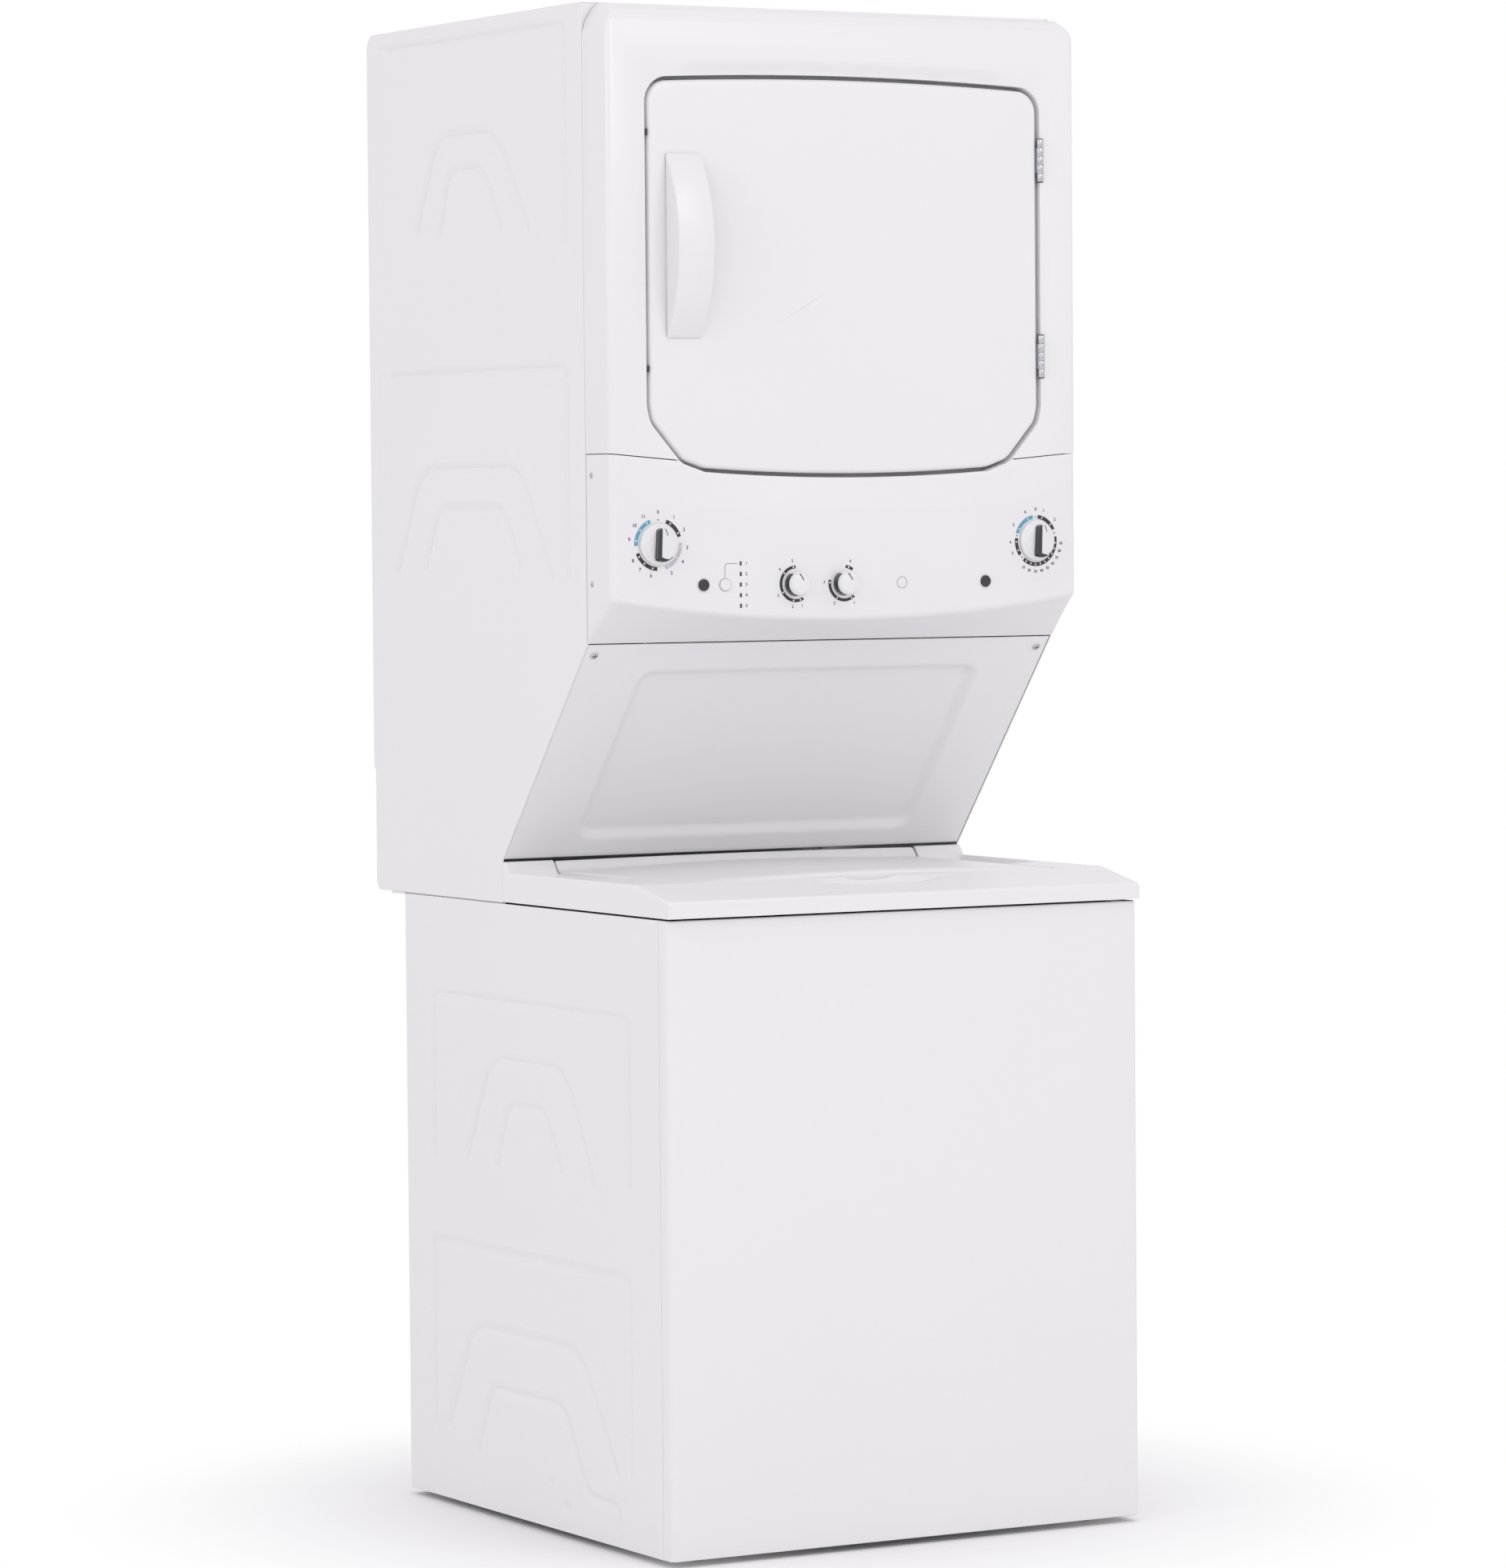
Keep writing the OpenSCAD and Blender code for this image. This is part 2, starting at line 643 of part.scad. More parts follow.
// A tube through a row of points, with round elbows
module tube(points, r) for (i = [0:len(points) - 2]) {
    v = points[i + 1] - points[i];
    translate(points[i]) rotate([0, acos(v[2] / norm(v)), atan2(v[1], v[0])])
        cylinder(r = r, h = norm(v), $fn = 48);
    if (i > 0) translate(points[i]) sphere(r = r + 0.8, $fn = 48);
}

module washer_hoses() place() color("gray") {
    tube([[pump_x, pump_y + 70, tub_z - 40], [pump_x, hose_y, tub_z - 40],
        [drain_x, hose_y, tub_z + 40], [drain_x, hose_y, drain_z],
        [drain_x, washer_d + 16, drain_z]], drain_r);
    tube([[valve_x, hose_y - 3, valve_z + valve_half[1]], [valve_x, hose_y - 3, valve_z + 44],
        [-110, tub_y + 190, valve_z + 44], [-110, tub_y + 190, tub_top + 4]], hose_r);
}

module inlet_valve() place() color("darkgreen") union() {
    valve_block(0, washer_d - 62, washer_d - sheet);
    valve_block(4 + gap, washer_d - sheet - 1, washer_d);
    for (s = [-1, 1]) rod_y(valve_x + s * port_dx, washer_d - 10, valve_z, port_r, 26);
}

// ---- Dryer casing ----

// Side outline of the dryer's side panel, drawn in y and z
module side_2d() polygon(concat(
    [[side_y, console_z], [side_y, stack_h]],
    [for (a = [90:-10:0]) [stack_d - 20 + 20 * cos(a), stack_h - 20 + 20 * sin(a)]],
    [[stack_d, washer_h + 165], [stack_d - 5, washer_h + 158]],
    [for (a = [0:-15:-90]) [stack_d - 17 + 12 * cos(a), skirt_z + 12.5 + 12 * sin(a)]],
    [[lower_y, skirt_z + 0.5], panel_low]
));

module side_panel() union() {
    along_x(in_w, sheet) side_2d();
    // front, top, rear and bottom flanges
    span([in_w - 15, side_y, console_z + 14], [in_w + 0.5, side_y + sheet, stack_h - 6]);
    span([in_w - 15, side_y + 8, stack_h - 2 * sheet], [in_w + 0.5, stack_d - 24, stack_h - sheet]);
    span([in_w - 20, back_y + sheet, washer_h + 20], [in_w + 0.5, back_y + 2 * sheet, stack_h - 48]);
    span([in_w - 25, lower_y + 8, flange_z + 3], [in_w + 0.5, stack_d - 20, flange_z + 5]);
    // flange behind the access panel
    translate([0, panel_top[0], panel_top[1]]) rotate([-panel_a, 0, 0])
        span([in_w - 15, 18, sheet], [in_w + 0.5, panel_l - 8, 2 * sheet]);
}

module dryer_right_side() place() color("white") side_panel();

module dryer_left_side() place() color("white") mirror([1, 0, 0]) side_panel();

module dryer_top() place() color("white") along_x(-in_w, 2 * in_w) union() {
    translate([side_y + seam, stack_h - sheet]) square([stack_d - 20 - side_y - seam, sheet]);
    translate([stack_d - 20, stack_h - 20]) difference() {
        circle(r = 20);
        circle(r = 20 - sheet);
        translate([-21, -21]) square([21, 42]);
        translate([-21, -21]) square([42, 21]);
    }
    translate([stack_d - sheet, stack_h - 44]) square([sheet, 24]);
    translate([back_y, stack_h - 44]) square([stack_d - back_y, sheet]);
}

module dryer_back() place() color("gainsboro") difference() {
    union() {
        span([-in_w, back_y, washer_h + 20], [in_w, back_y + sheet, stack_h - 44]);
        span([-in_w + 21, back_y - 12, washer_h + 20], [in_w - 21, back_y + 1, washer_h + 20 + sheet]);
    }
    rod_y(duct_x, back_y - 1, duct_z, duct_r + 1.2, 5);
    for (x = [-1, 1], k = [0:9])
        span([x * 190 - 45, back_y - 1, drum_z - 60 + 16 * k],
            [x * 190 + 45, back_y + 3, drum_z - 52 + 16 * k]);
    // inlet of the power cord
    rod_y(cord_x, back_y - 1, cord_z, cord_r, 5);
}

module dryer_base() place() color("darkgray") union() {
    difference() {
        span([-in_w, motor_y0 - 5, shelf_z], [in_w, back_y, shelf_z + 2]);
        span([-in_w + 60, motor_y0 + 200, shelf_z - 1], [in_w - 60, back_y - 60, shelf_z + 3]);
    }
    both() span([in_w - 2, motor_y0 + 5, shelf_z - 25], [in_w, back_y, shelf_z + 1]);
    // idler post and its pivot pin
    span([idler_pivot[0] - 20, belt_y + 26, shelf_z + 1],
        [idler_pivot[0] + 20, belt_y + 29, idler_pivot[1] + 14]);
    rod_y(idler_pivot[0], belt_y + 12, idler_pivot[1], idler_pivot_r, 15);
    // cradle of the motor
    difference() {
        span([axis_x - 45, motor_y0 + 15, shelf_z + 1],
            [axis_x + 45, motor_y0 + motor_l - 15, axis_z - dryer_motor_r + 12]);
        span([axis_x - 36, motor_y0, shelf_z + 2],
            [axis_x + 36, motor_y0 + motor_l, axis_z - dryer_motor_r - 6]);
        rod_y(axis_x, motor_y0, axis_z, dryer_motor_r + gap, motor_l);
    }
}

// Outline of the front panel, seen from the front; t insets it
module bezel_2d(t = 0) polygon([
    [-half_w + t, seam_z], [-half_w + t, stack_h - 40], [-half_w + 4 + t, stack_h - 26],
    [-half_w + 13 + t, stack_h - 10], [-half_w + 24 + t, stack_h - t],
    [half_w - 24 - t, stack_h - t], [half_w - 13 - t, stack_h - 10],
    [half_w - 4 - t, stack_h - 26], [half_w - t, stack_h - 40], [half_w - t, seam_z],
    [half_w - 105, seam_z - 9], [-half_w + 105, seam_z - 9]
]);

// Side outline of the front panel, drawn in y and z; t insets it
module bezel_side(t = 0) polygon([
    [bezel_y + t, seam_z - 20], [bezel_y + t, stack_h - 28 - t / 2],
    [bezel_y + 5 + t / 2, stack_h - 18 - t], [bezel_y + 20, stack_h - 7 - t],
    [side_y, stack_h - t], [side_y, seam_z - 20]
]);

module bezel_block(t) intersection() {
    along_y(bezel_y, side_y - bezel_y - (t > 0 ? 0 : 1.2)) bezel_2d(t);
    along_x(-half_w, body_w) bezel_side(t);
    translate([0, bezel_y + t, seam_z - 20]) linear_extrude(stack_h)
        round_front(body_w - 2 * t, 200, 10 - t);
}

module dryer_front_panel() place() color("white") difference() {
    union() {
        difference() {
            bezel_block(0);
            bezel_block(wall);
        }
        // lip round the door and the ledge behind it
        intersection() {
            along_y(bezel_y + 1, ledge_y + ledge_t - bezel_y - 1) door_2d(door_gap + wall);
            span([-half_w, 0, door_z0 - 20], [half_w, side_y - 2, stack_h]);
        }
        both() span([in_w - 14, side_y - 3.2, seam_z + 20], [in_w, side_y - 1.2, stack_h - 45]);
    }
    along_y(bezel_y - 1, ledge_y - bezel_y + 1) door_2d(door_gap);
    rod_y(0, ledge_y - 1, throat_z, throat_r, 10);
    // notches for the hinges
    for (z = hinge_zs) span([hinge_x - 5, bezel_y - 1, z - hinge_l / 2 - 1],
        [hinge_x + knuckle_r + 1.5, bezel_y + 9, z + hinge_l / 2 + 1]);
    // slot for the strike
    span([-door_half + 38, ledge_y - 1, throat_z - 16], [-door_half + 64, ledge_y + 4, throat_z + 16]);
}

module door_outer() place() color("white") difference() {
    along_y(door_y, door_t - sheet) door_2d();
    along_y(door_y + sheet, door_t) door_2d(-sheet);
}

module door_inner() place() color("whitesmoke") difference() {
    union() {
        along_y(door_back - sheet, sheet) door_2d();
        rod_y(0, door_back - sheet, throat_z, throat_r - 12, 18);
    }
    rod_y(0, door_back - sheet - 1, throat_z, throat_r - 14, 17);
}

module door_handle() place() color("white") difference() {
    intersection() {
        rod_x(handle_x, door_y - handle_d + handle_r, handle_z, handle_r, handle_w, $fn = 128);
        span([handle_x, door_y - handle_d - 1, handle_z - handle_l / 2],
            [handle_x + handle_w, door_y, handle_z + handle_l / 2]);
    }
    rod_x(handle_x + 3, door_y - handle_d + handle_r, handle_z, handle_r - 5, handle_w, $fn = 128);
}

module door_seal() place() color("dimgray") difference() {
    rod_y(0, door_back, throat_z, throat_r + 18, ledge_y - door_back - gap);
    rod_y(0, door_back - 1, throat_z, throat_r + 6, 6);
}

module door_strike() place() color("silver") union() {
    span([-door_half + 40, door_back, throat_z - 12], [-door_half + 62, door_back + 2, throat_z + 12]);
    span([-door_half + 48, door_back + 1, throat_z - 6], [-door_half + 54, door_back + 15, throat_z + 6]);
}

// Knuckles of one hinge: k picks the fixed ones, 0, or the door's, 1
module knuckles(k, r0) for (i = [k:2:4])
    translate([0, 0, i * knuckle_l - hinge_l / 2 + 0.2]) difference() {
        cylinder(r = knuckle_r, h = knuckle_l - 0.4);
        if (r0 > 0) translate([0, 0, -1]) cylinder(r = r0, h = knuckle_l + 2);
    }

module door_hinge_leaves() place() color("silver") for (z = hinge_zs)
    translate([hinge_x, hinge_y, z]) {
        knuckles(1, pin_r + run_fit);
        for (i = [1, 3]) difference() {
            span([-door_gap, -1, i * knuckle_l - hinge_l / 2 + 0.2],
                [0, 0.8, (i + 1) * knuckle_l - hinge_l / 2 - 0.2]);
            translate([0, 0, -hinge_l]) cylinder(r = knuckle_r - 0.5, h = 2 * hinge_l);
        }
        span([-door_gap, -1, 0.2 - 1.5 * knuckle_l], [-door_gap + 0.8, 20, 1.5 * knuckle_l - 0.2]);
    }

module frame_hinge_leaves() place() color("gray") for (z = hinge_zs)
    translate([hinge_x, hinge_y, z]) {
        knuckles(0, 0);
        cylinder(r = pin_r, h = hinge_l - 1, center = true);
        for (i = [0, 2, 4])
            span([1, bezel_y + wall - hinge_y, i * knuckle_l - hinge_l / 2 + 0.2],
                [12, bezel_y + wall + 1.2 - hinge_y, (i + 1) * knuckle_l - hinge_l / 2 - 0.2]);
        span([11, bezel_y + wall - hinge_y, -hinge_l / 2 + 0.2],
            [30, bezel_y + wall + 1.2 - hinge_y, hinge_l / 2 - 0.2]);
    }

// ---- Dryer inside ----

module front_bulkhead() place() color("gainsboro") difference() {
    union() {
        span([-in_w, bulkhead_y, axis_z - 58], [in_w, bulkhead_y + sheet, stack_h - 24]);
        rod_y(0, ledge_y + ledge_t, throat_z, throat_r + 2, bulkhead_y - ledge_y - ledge_t + 1);
        rod_y(0, bulkhead_y, drum_z, drum_mouth_r - glide_h, 28);
        // lint duct under the throat
        span([-lint_half - 22, lint_y - 10, axis_z - 56],
            [lint_half + 8, bulkhead_y + 1, throat_z - throat_r + 40]);
    }
    rod_y(0, ledge_y, throat_z, throat_r, 100);
    rod_y(0, bulkhead_y + sheet, drum_z, drum_mouth_r - glide_h - 2, 40);
    span([-lint_half - 20, lint_y - 8, axis_z - 54],
        [lint_half + 6, bulkhead_y, throat_z - throat_r + 38]);
    rod_y(axis_x, bulkhead_y - 5, axis_z, wheel_r - 22, 10);
}

// The filter stands in the duct and slides up into the throat
module lint_filter() place() color("lightgray") difference() {
    span([-lint_half, lint_y, axis_z + 60], [lint_half, lint_y + lint_t, throat_z - throat_r + 6]);
    for (s = [-1, 1]) span([s * lint_half / 2 - 44, lint_y - 1, axis_z + 68],
        [s * lint_half / 2 + 44, lint_y + lint_t - 2, throat_z - throat_r - 8]);
}

module rear_bulkhead() place() color("gainsboro") difference() {
    union() {
        span([-in_w, rear_bulkhead_y, drum_z - drum_r - 10],
            [in_w, rear_bulkhead_y + sheet, stack_h - 46]);
        rod_y(0, rear_bulkhead_y - 4, drum_z, drum_shaft_r + 12, 14);
    }
    rod_y(0, rear_bulkhead_y - 5, drum_z, drum_shaft_r + run_fit, 20);
    for (a = [0:20:340])
        rod_y(112 * cos(a), rear_bulkhead_y - 1, drum_z + 112 * sin(a), 13, 4);
}

module drum() place() color("silver") difference() {
    union() {
        rod_y(0, drum_y0, drum_z, drum_r, drum_y1 - drum_y0, $fn = 128);
        rod_y(0, drum_y0 - 8, drum_z, drum_mouth_r + sheet, 9, $fn = 96);
        rod_y(0, drum_y1 - 1, drum_z, 60, 4);
        rod_y(0, drum_y1, drum_z, drum_shaft_r, rear_bulkhead_y - drum_y1 + 14);
    }
    rod_y(0, drum_y0 - 9, drum_z, drum_mouth_r, 20, $fn = 96);
    rod_y(0, drum_y0 + sheet, drum_z, drum_r - sheet, drum_y1 - drum_y0 - 2 * sheet, $fn = 128);
    for (k = [0:2], a = [0:15:345])
        rod_y((88 + 24 * k) * cos(a + 5 * k), drum_y1 - 5, drum_z + (88 + 24 * k) * sin(a + 5 * k),
            3.5, 10, $fn = 16);
}

module drum_baffles() place() color("whitesmoke") intersection() {
    rod_y(0, drum_y0, drum_z, drum_r - sheet - gap, drum_y1 - drum_y0, $fn = 128);
    translate([0, 0, drum_z]) for (a = spoke_as) rotate([0, -a, 0])
        along_y(drum_y0 + 12, drum_y1 - drum_y0 - 26) polygon([
            [drum_r + 2, -42], [drum_r - 30, -26], [drum_r - 62, -9], [drum_r - 66, 0],
            [drum_r - 62, 9], [drum_r - 30, 26], [drum_r + 2, 42]
        ]);
}

module drum_glides() place() color("ivory") intersection() {
    difference() {
        rod_y(0, drum_y0 - 7, drum_z, drum_mouth_r - gap, 6, $fn = 96);
        rod_y(0, drum_y0 - 8, drum_z, drum_mouth_r - glide_h + gap / 2, 8, $fn = 96);
    }
    for (a = [40, 110]) along_y(drum_y0 - 9, 10) translate([0, drum_z]) polygon([
        [0, 0], [400 * cos(a), 400 * sin(a)], [400 * cos(a + 30), 400 * sin(a + 30)]
    ]);
}

module dryer_motor() place() color("slategray") difference() {
    union() {
        rod_y(axis_x, motor_y0, axis_z, dryer_motor_r, motor_l);
        rod_y(axis_x, motor_y0 - 8, axis_z, 20, motor_l + 16);
    }
    rod_y(axis_x, motor_y0 - 9, axis_z, motor_shaft_r + run_fit, motor_l + 20);
}

module motor_shaft() place() color("silver") union() {
    rod_y(axis_x, housing_y + 12, axis_z, motor_shaft_r, belt_y + 12 - housing_y - 12);
    rod_y(axis_x, belt_y - 5, axis_z, spindle_r, belt_w + 4);
    rod_y(axis_x, belt_y - 5, axis_z, spindle_r + 5, 2);
    rod_y(axis_x, belt_y + belt_w - 0.5, axis_z, spindle_r + 5, 2);
}

module blower_wheel() place() color("dimgray") difference() {
    union() {
        rod_y(axis_x, housing_y + 44, axis_z, wheel_r, 3);
        rod_y(axis_x, housing_y + 20, axis_z, 16, 27);
        rod_y(axis_x, housing_y + 8, axis_z, wheel_r, 2);
        for (a = [0:15:345]) translate([axis_x, 0, axis_z]) rotate([0, a, 0])
            span([wheel_r - 18, housing_y + 9, -1], [wheel_r - 1, housing_y + 45, 1]);
    }
    rod_y(axis_x, housing_y + 7, axis_z, wheel_r - 18, 4);
    rod_y(axis_x, housing_y, axis_z, motor_shaft_r + run_fit, housing_d);
}

module blower_housing() place() color("lightgray") difference() {
    union() {
        rod_y(axis_x, housing_y, axis_z, housing_r, housing_d);
        rod_y(axis_x, bulkhead_y + sheet, axis_z, wheel_r - 18, housing_y - bulkhead_y);
        span([axis_x, housing_y, duct_z - duct_r], [duct_x + duct_r, housing_y + housing_d,
            duct_z + duct_r - 10]);
        rod_y(duct_x, housing_y, duct_z, duct_r + 2, housing_d + 14);
    }
    rod_y(axis_x, housing_y + 2, axis_z, housing_r - 2, housing_d - 4);
    rod_y(axis_x, bulkhead_y, axis_z, wheel_r - 20, 80);
    span([axis_x, housing_y + 2, duct_z - duct_r + 2], [duct_x, housing_y + housing_d - 2,
        duct_z + duct_r - 12]);
    rod_y(duct_x, housing_y + 2, duct_z, duct_r - 2, housing_d + 20);
    rod_y(duct_x, housing_y + housing_d, duct_z, duct_r + gap, 20);
    rod_y(axis_x, housing_y + 20, axis_z, 22, 60);
}

module exhaust_duct() place() color("silver") difference() {
    rod_y(duct_x, housing_y + housing_d, duct_z, duct_r, stack_d - 2 - housing_y - housing_d);
    rod_y(duct_x, housing_y + housing_d - 1, duct_z, duct_r - 1, stack_d);
}

module heater() place() color("silver") union() {
    difference() {
        rod_y(0, rear_bulkhead_y + sheet, drum_z, 152, back_y - rear_bulkhead_y - sheet - 1);
        rod_y(0, rear_bulkhead_y, drum_z, 150, back_y - rear_bulkhead_y - 2.5);
        rod_y(0, rear_bulkhead_y, drum_z, 60, 60);
    }
    difference() {
        rod_y(0, rear_bulkhead_y + sheet, drum_z, 62, back_y - rear_bulkhead_y - sheet - 1);
        rod_y(0, rear_bulkhead_y, drum_z, 60, 60);
    }
    translate([0, rear_bulkhead_y + 13, drum_z]) rotate([90, 0, 0])
        for (r = [100, 122]) rotate_extrude() translate([r, 0]) circle(r = 4, $fn = 16);
    for (a = spoke_as) translate([0, rear_bulkhead_y + 13, drum_z]) rotate([0, -a, 0])
        span([92, -3, -6], [130, back_y - rear_bulkhead_y - 15, 6]);
}

module dryer_belt() place() color("black") along_y(belt_y - 1, belt_w) difference() {
    loop_2d([axis_x, axis_z], spindle_r, [0, drum_z], drum_r, belt_gap + belt_t);
    loop_2d([axis_x, axis_z], spindle_r, [0, drum_z], drum_r, belt_gap);
}

module idler_arm() place() color("gray") difference() {
    union() {
        rod_y(idler_pivot[0], belt_y + 18, idler_pivot[1], 12, 6);
        rod_y(idler_c[0], belt_y + 18, idler_c[1], 10, 3);
        rod_y(idler_c[0], belt_y - 5, idler_c[1], idler_pin_r, 24);
        translate([idler_pivot[0], belt_y + 18, idler_pivot[1]])
            rotate([0, -atan2(idler_c[1] - idler_pivot[1], idler_c[0] - idler_pivot[0]), 0])
                span([0, 0, -8], [norm(idler_c - idler_pivot), 3, 8]);
    }
    rod_y(idler_pivot[0], belt_y, idler_pivot[1], idler_pivot_r + run_fit, 40);
}

module idler_pulley() place() color("dimgray") difference() {
    rod_y(idler_c[0], belt_y - 4, idler_c[1], idler_r, belt_w + 6);
    rod_y(idler_c[0], belt_y - 6, idler_c[1], idler_pin_r + run_fit, belt_w + 20);
}

// ---- Access panel ----

// Outline of the recess, drawn in x and along the slope; t insets it
module recess_2d(t = 0) translate([-panel_half + recess_in + t, recess_top + t])
    square([2 * (panel_half - recess_in - t), panel_l - recess_top - recess_low - 2 * t]);

module on_slope() translate([0, panel_top[0], panel_top[1]]) rotate([-panel_a, 0, 0]) children();

module access_panel() place() color("white") on_slope() difference() {
    union() {
        span([-panel_half, seam, 0], [panel_half, panel_l - 2, sheet]);
        linear_extrude(panel_recess + sheet) recess_2d(-sheet);
        span([-in_w + 17, panel_l - 3.5, 0], [in_w - 17, panel_l - 2, 12]);
    }
    translate([0, 0, -1]) linear_extrude(panel_recess + 1) recess_2d();
}

// ---- Console ----

function corner_y(x) = let (e = abs(x) - half_w + console_corner)
    e > 0 ? console_corner - sqrt(console_corner * console_corner - e * e) : 0;
function top_z(x) = seam_z - seam - 9 * min(1, max(0, (half_w - abs(x)) / 105));

// Stations across the console, close together at its round ends
console_xs = concat(
    [for (a = [90:-22.5:22.5]) -(half_w - console_corner * (1 - sin(a)))],
    [for (i = [0:20]) (half_w - console_corner) * (i / 10 - 1)],
    [for (a = [22.5:22.5:90]) half_w - console_corner * (1 - sin(a))]
);

// One section of the console in y and z at x; t insets it
function console_section(x, t) = let (c = corner_y(x) + t, r = t > 0 ? 9 : 0) [
    [x, side_y - seam + r, top_z(x) - t], [x, bezel_y + c, top_z(x) - t],
    [x, bezel_y + c, crease_z(x) + 56 - t], [x, face_y(x) + c, crease_z(x)],
    [x, face_y(x) + c, low_z(x) + t * 1.3],
    [x, side_y - seam + r, console_z + seam + t * 1.3 - r * 0.8]
];

module console_solid(t) {
    xs = [for (x = console_xs) x * (1 - t / half_w)];
    n = len(xs);
    polyhedron(
        points = [for (x = xs) each console_section(x, t)],
        faces = concat(
            [[0, 1, 2, 3, 4, 5], [for (j = [5:-1:0]) (n - 1) * 6 + j]],
            [for (i = [0:n - 2], j = [0:5]) let (k = (j + 1) % 6)
                [i * 6 + j, (i + 1) * 6 + j, (i + 1) * 6 + k]],
            [for (i = [0:n - 2], j = [0:5]) let (k = (j + 1) % 6)
                [i * 6 + j, (i + 1) * 6 + k, i * 6 + k]]
        )
    );
}

// The console's face at x and z, turned with the bow; -y points out of it
module on_face(x, z) translate([x, face_y(x), z]) rotate([0, 0, asin(x / bow_r)]) children();

// A disc that stands out of the face, from y0 behind it to h in front
module disc(r, y0, h, r2 = 0) translate([0, y0, 0]) rotate([90, 0, 0])
    cylinder(r1 = r, r2 = r2 > 0 ? r2 : r, h = h + y0);

module console_panel() place() color("white") difference() {
    difference() {
        console_solid(0);
        console_solid(console_t);
    }
    along_y(bezel_y - 5, side_y - bezel_y + 10) door_2d(door_gap + wall + 0.4);
    for (x = [-cycle_x, cycle_x]) on_face(x, knob_z) disc(stem_r + 2, 6, 2);
    for (x = selector_x) on_face(x, button_z) disc(stem_r + 2, 6, 2);
    for (x = [washer_start_x, rinse_x, dryer_start_x])
        on_face(x, button_z) disc(button_r + gap, 6, 2);
    for (k = [-2:2]) on_face(lens_x, button_z + k * lens_pitch)
        span([-1.35, -2, -2.6], [1.35, 6, 2.6]);
    for (s = [-1, 1], z = console_screws)
        rod_x(s * half_w - 1.8, side_y - 14, z, console_screw_r + gap, 3.6);
    // room for the lint duct
    span([-lint_half - 24, lint_y - 12, axis_z - 58], [lint_half + 10, side_y, seam_z + 5]);
}

module cycle_knob(x) on_face(x, knob_z) {
    disc(cycle_r, -knob_gap, knob_gap + 5);
    disc(cycle_r - 4, -knob_gap, knob_gap + 9);
    disc(stem_r, 24, knob_gap + 2);
    intersection() {
        disc(cycle_r - 2, -knob_gap, cycle_h);
        span([-5, -cycle_h, -cycle_r], [5, -4, cycle_r]);
    }
}

module washer_cycle_knob() place() color("whitesmoke") cycle_knob(-cycle_x);
module dryer_cycle_knob() place() color("whitesmoke") cycle_knob(cycle_x);

module selector_knob(x) on_face(x, button_z) {
    disc(selector_r, -knob_gap, selector_h, selector_r - 2);
    disc(stem_r, 20, knob_gap + 2);
    span([-0.8, -selector_h - 0.8, 2], [0.8, -selector_h + 1, selector_r - 3]);
}

module temperature_knob() place() color("whitesmoke") selector_knob(selector_x[0]);
module load_knob() place() color("whitesmoke") selector_knob(selector_x[1]);

module push_button(x) on_face(x, button_z) disc(button_r, 8, 2.8);

module washer_start_button() place() color("black") push_button(washer_start_x);
module dryer_start_button() place() color("black") push_button(dryer_start_x);
module rinse_button() place() color("whitesmoke") push_button(rinse_x);

module indicator_lenses() place() color("dimgray") for (k = [-2:2])
    on_face(lens_x, button_z + k * lens_pitch) span([-1.25, -0.5, -2.5], [1.25, 4, 2.5]);

// A switch body behind the face, w wide and d deep, with a bore for the stem
module switch_body(w, d) difference() {
    span([-w / 2, console_t + 0.3, -w / 2], [w / 2, d, w / 2]);
    disc(stem_r + run_fit, d + 1, 0);
}

module console_switches() place() color("dimgray") {
    for (x = [-cycle_x, cycle_x]) on_face(x, knob_z) switch_body(64, 36);
    for (x = selector_x) on_face(x, button_z) switch_body(30, 26);
    for (x = [washer_start_x, rinse_x, dryer_start_x]) on_face(x, button_z) difference() {
        span([-10, console_t + 0.3, -10], [10, 22, 10]);
        disc(button_r + 0.8, 8.5 + button_travel, 0);
    }
    on_face(lens_x, button_z) span([-8, 4.1, -36], [8, 6, 36]);
}

module panel_screws() place() color("gray") {
    for (s = [-1, 1], z = console_screws) rod_x(s * (half_w - 1.3) - 0.5, side_y - 14, z, console_screw_r, 1);
    on_slope() for (s = [-1, 1]) translate([s * (panel_half - 14), screw_u, -2])
        cylinder(r = panel_screw_r, h = 2);
    for (s = [-1, 1], k = [0:4]) rod_y(s * (in_w - 10), back_y + sheet * 2,
        washer_h + 60 + k * (stack_h - washer_h - 160) / 4, 4.5, 2);
}

washer_cabinet();
washer_front_panel();
washer_base();
levelling_feet();
washer_top_cover();
washer_lid();
lid_lock();
outer_tub();
wash_basket();
balance_ring();
agitator();
suspension_rods();
gearcase();
drive_shaft();
washer_motor();
motor_pulley();
washer_belt();
drain_pump();
washer_hoses();
inlet_valve();
dryer_left_side();
dryer_right_side();
dryer_top();
dryer_back();
dryer_base();
dryer_front_panel();
door_outer();
door_inner();
door_handle();
door_seal();
door_strike();
door_hinge_leaves();
frame_hinge_leaves();
front_bulkhead();
rear_bulkhead();
drum();
drum_baffles();
drum_glides();
dryer_motor();
motor_shaft();
blower_wheel();
blower_housing();
lint_filter();
heater();
exhaust_duct();
dryer_belt();
idler_arm();
idler_pulley();
console_panel();
washer_cycle_knob();
dryer_cycle_knob();
temperature_knob();
load_knob();
washer_start_button();
dryer_start_button();
rinse_button();
indicator_lenses();
console_switches();
access_panel();
panel_screws();
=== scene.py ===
"""Looks of the washer dryer stack: enamel casing, moulded controls and what moves inside."""
import json
import math

import bmesh
import bpy
import numpy as np
from mathutils import Matrix, Vector


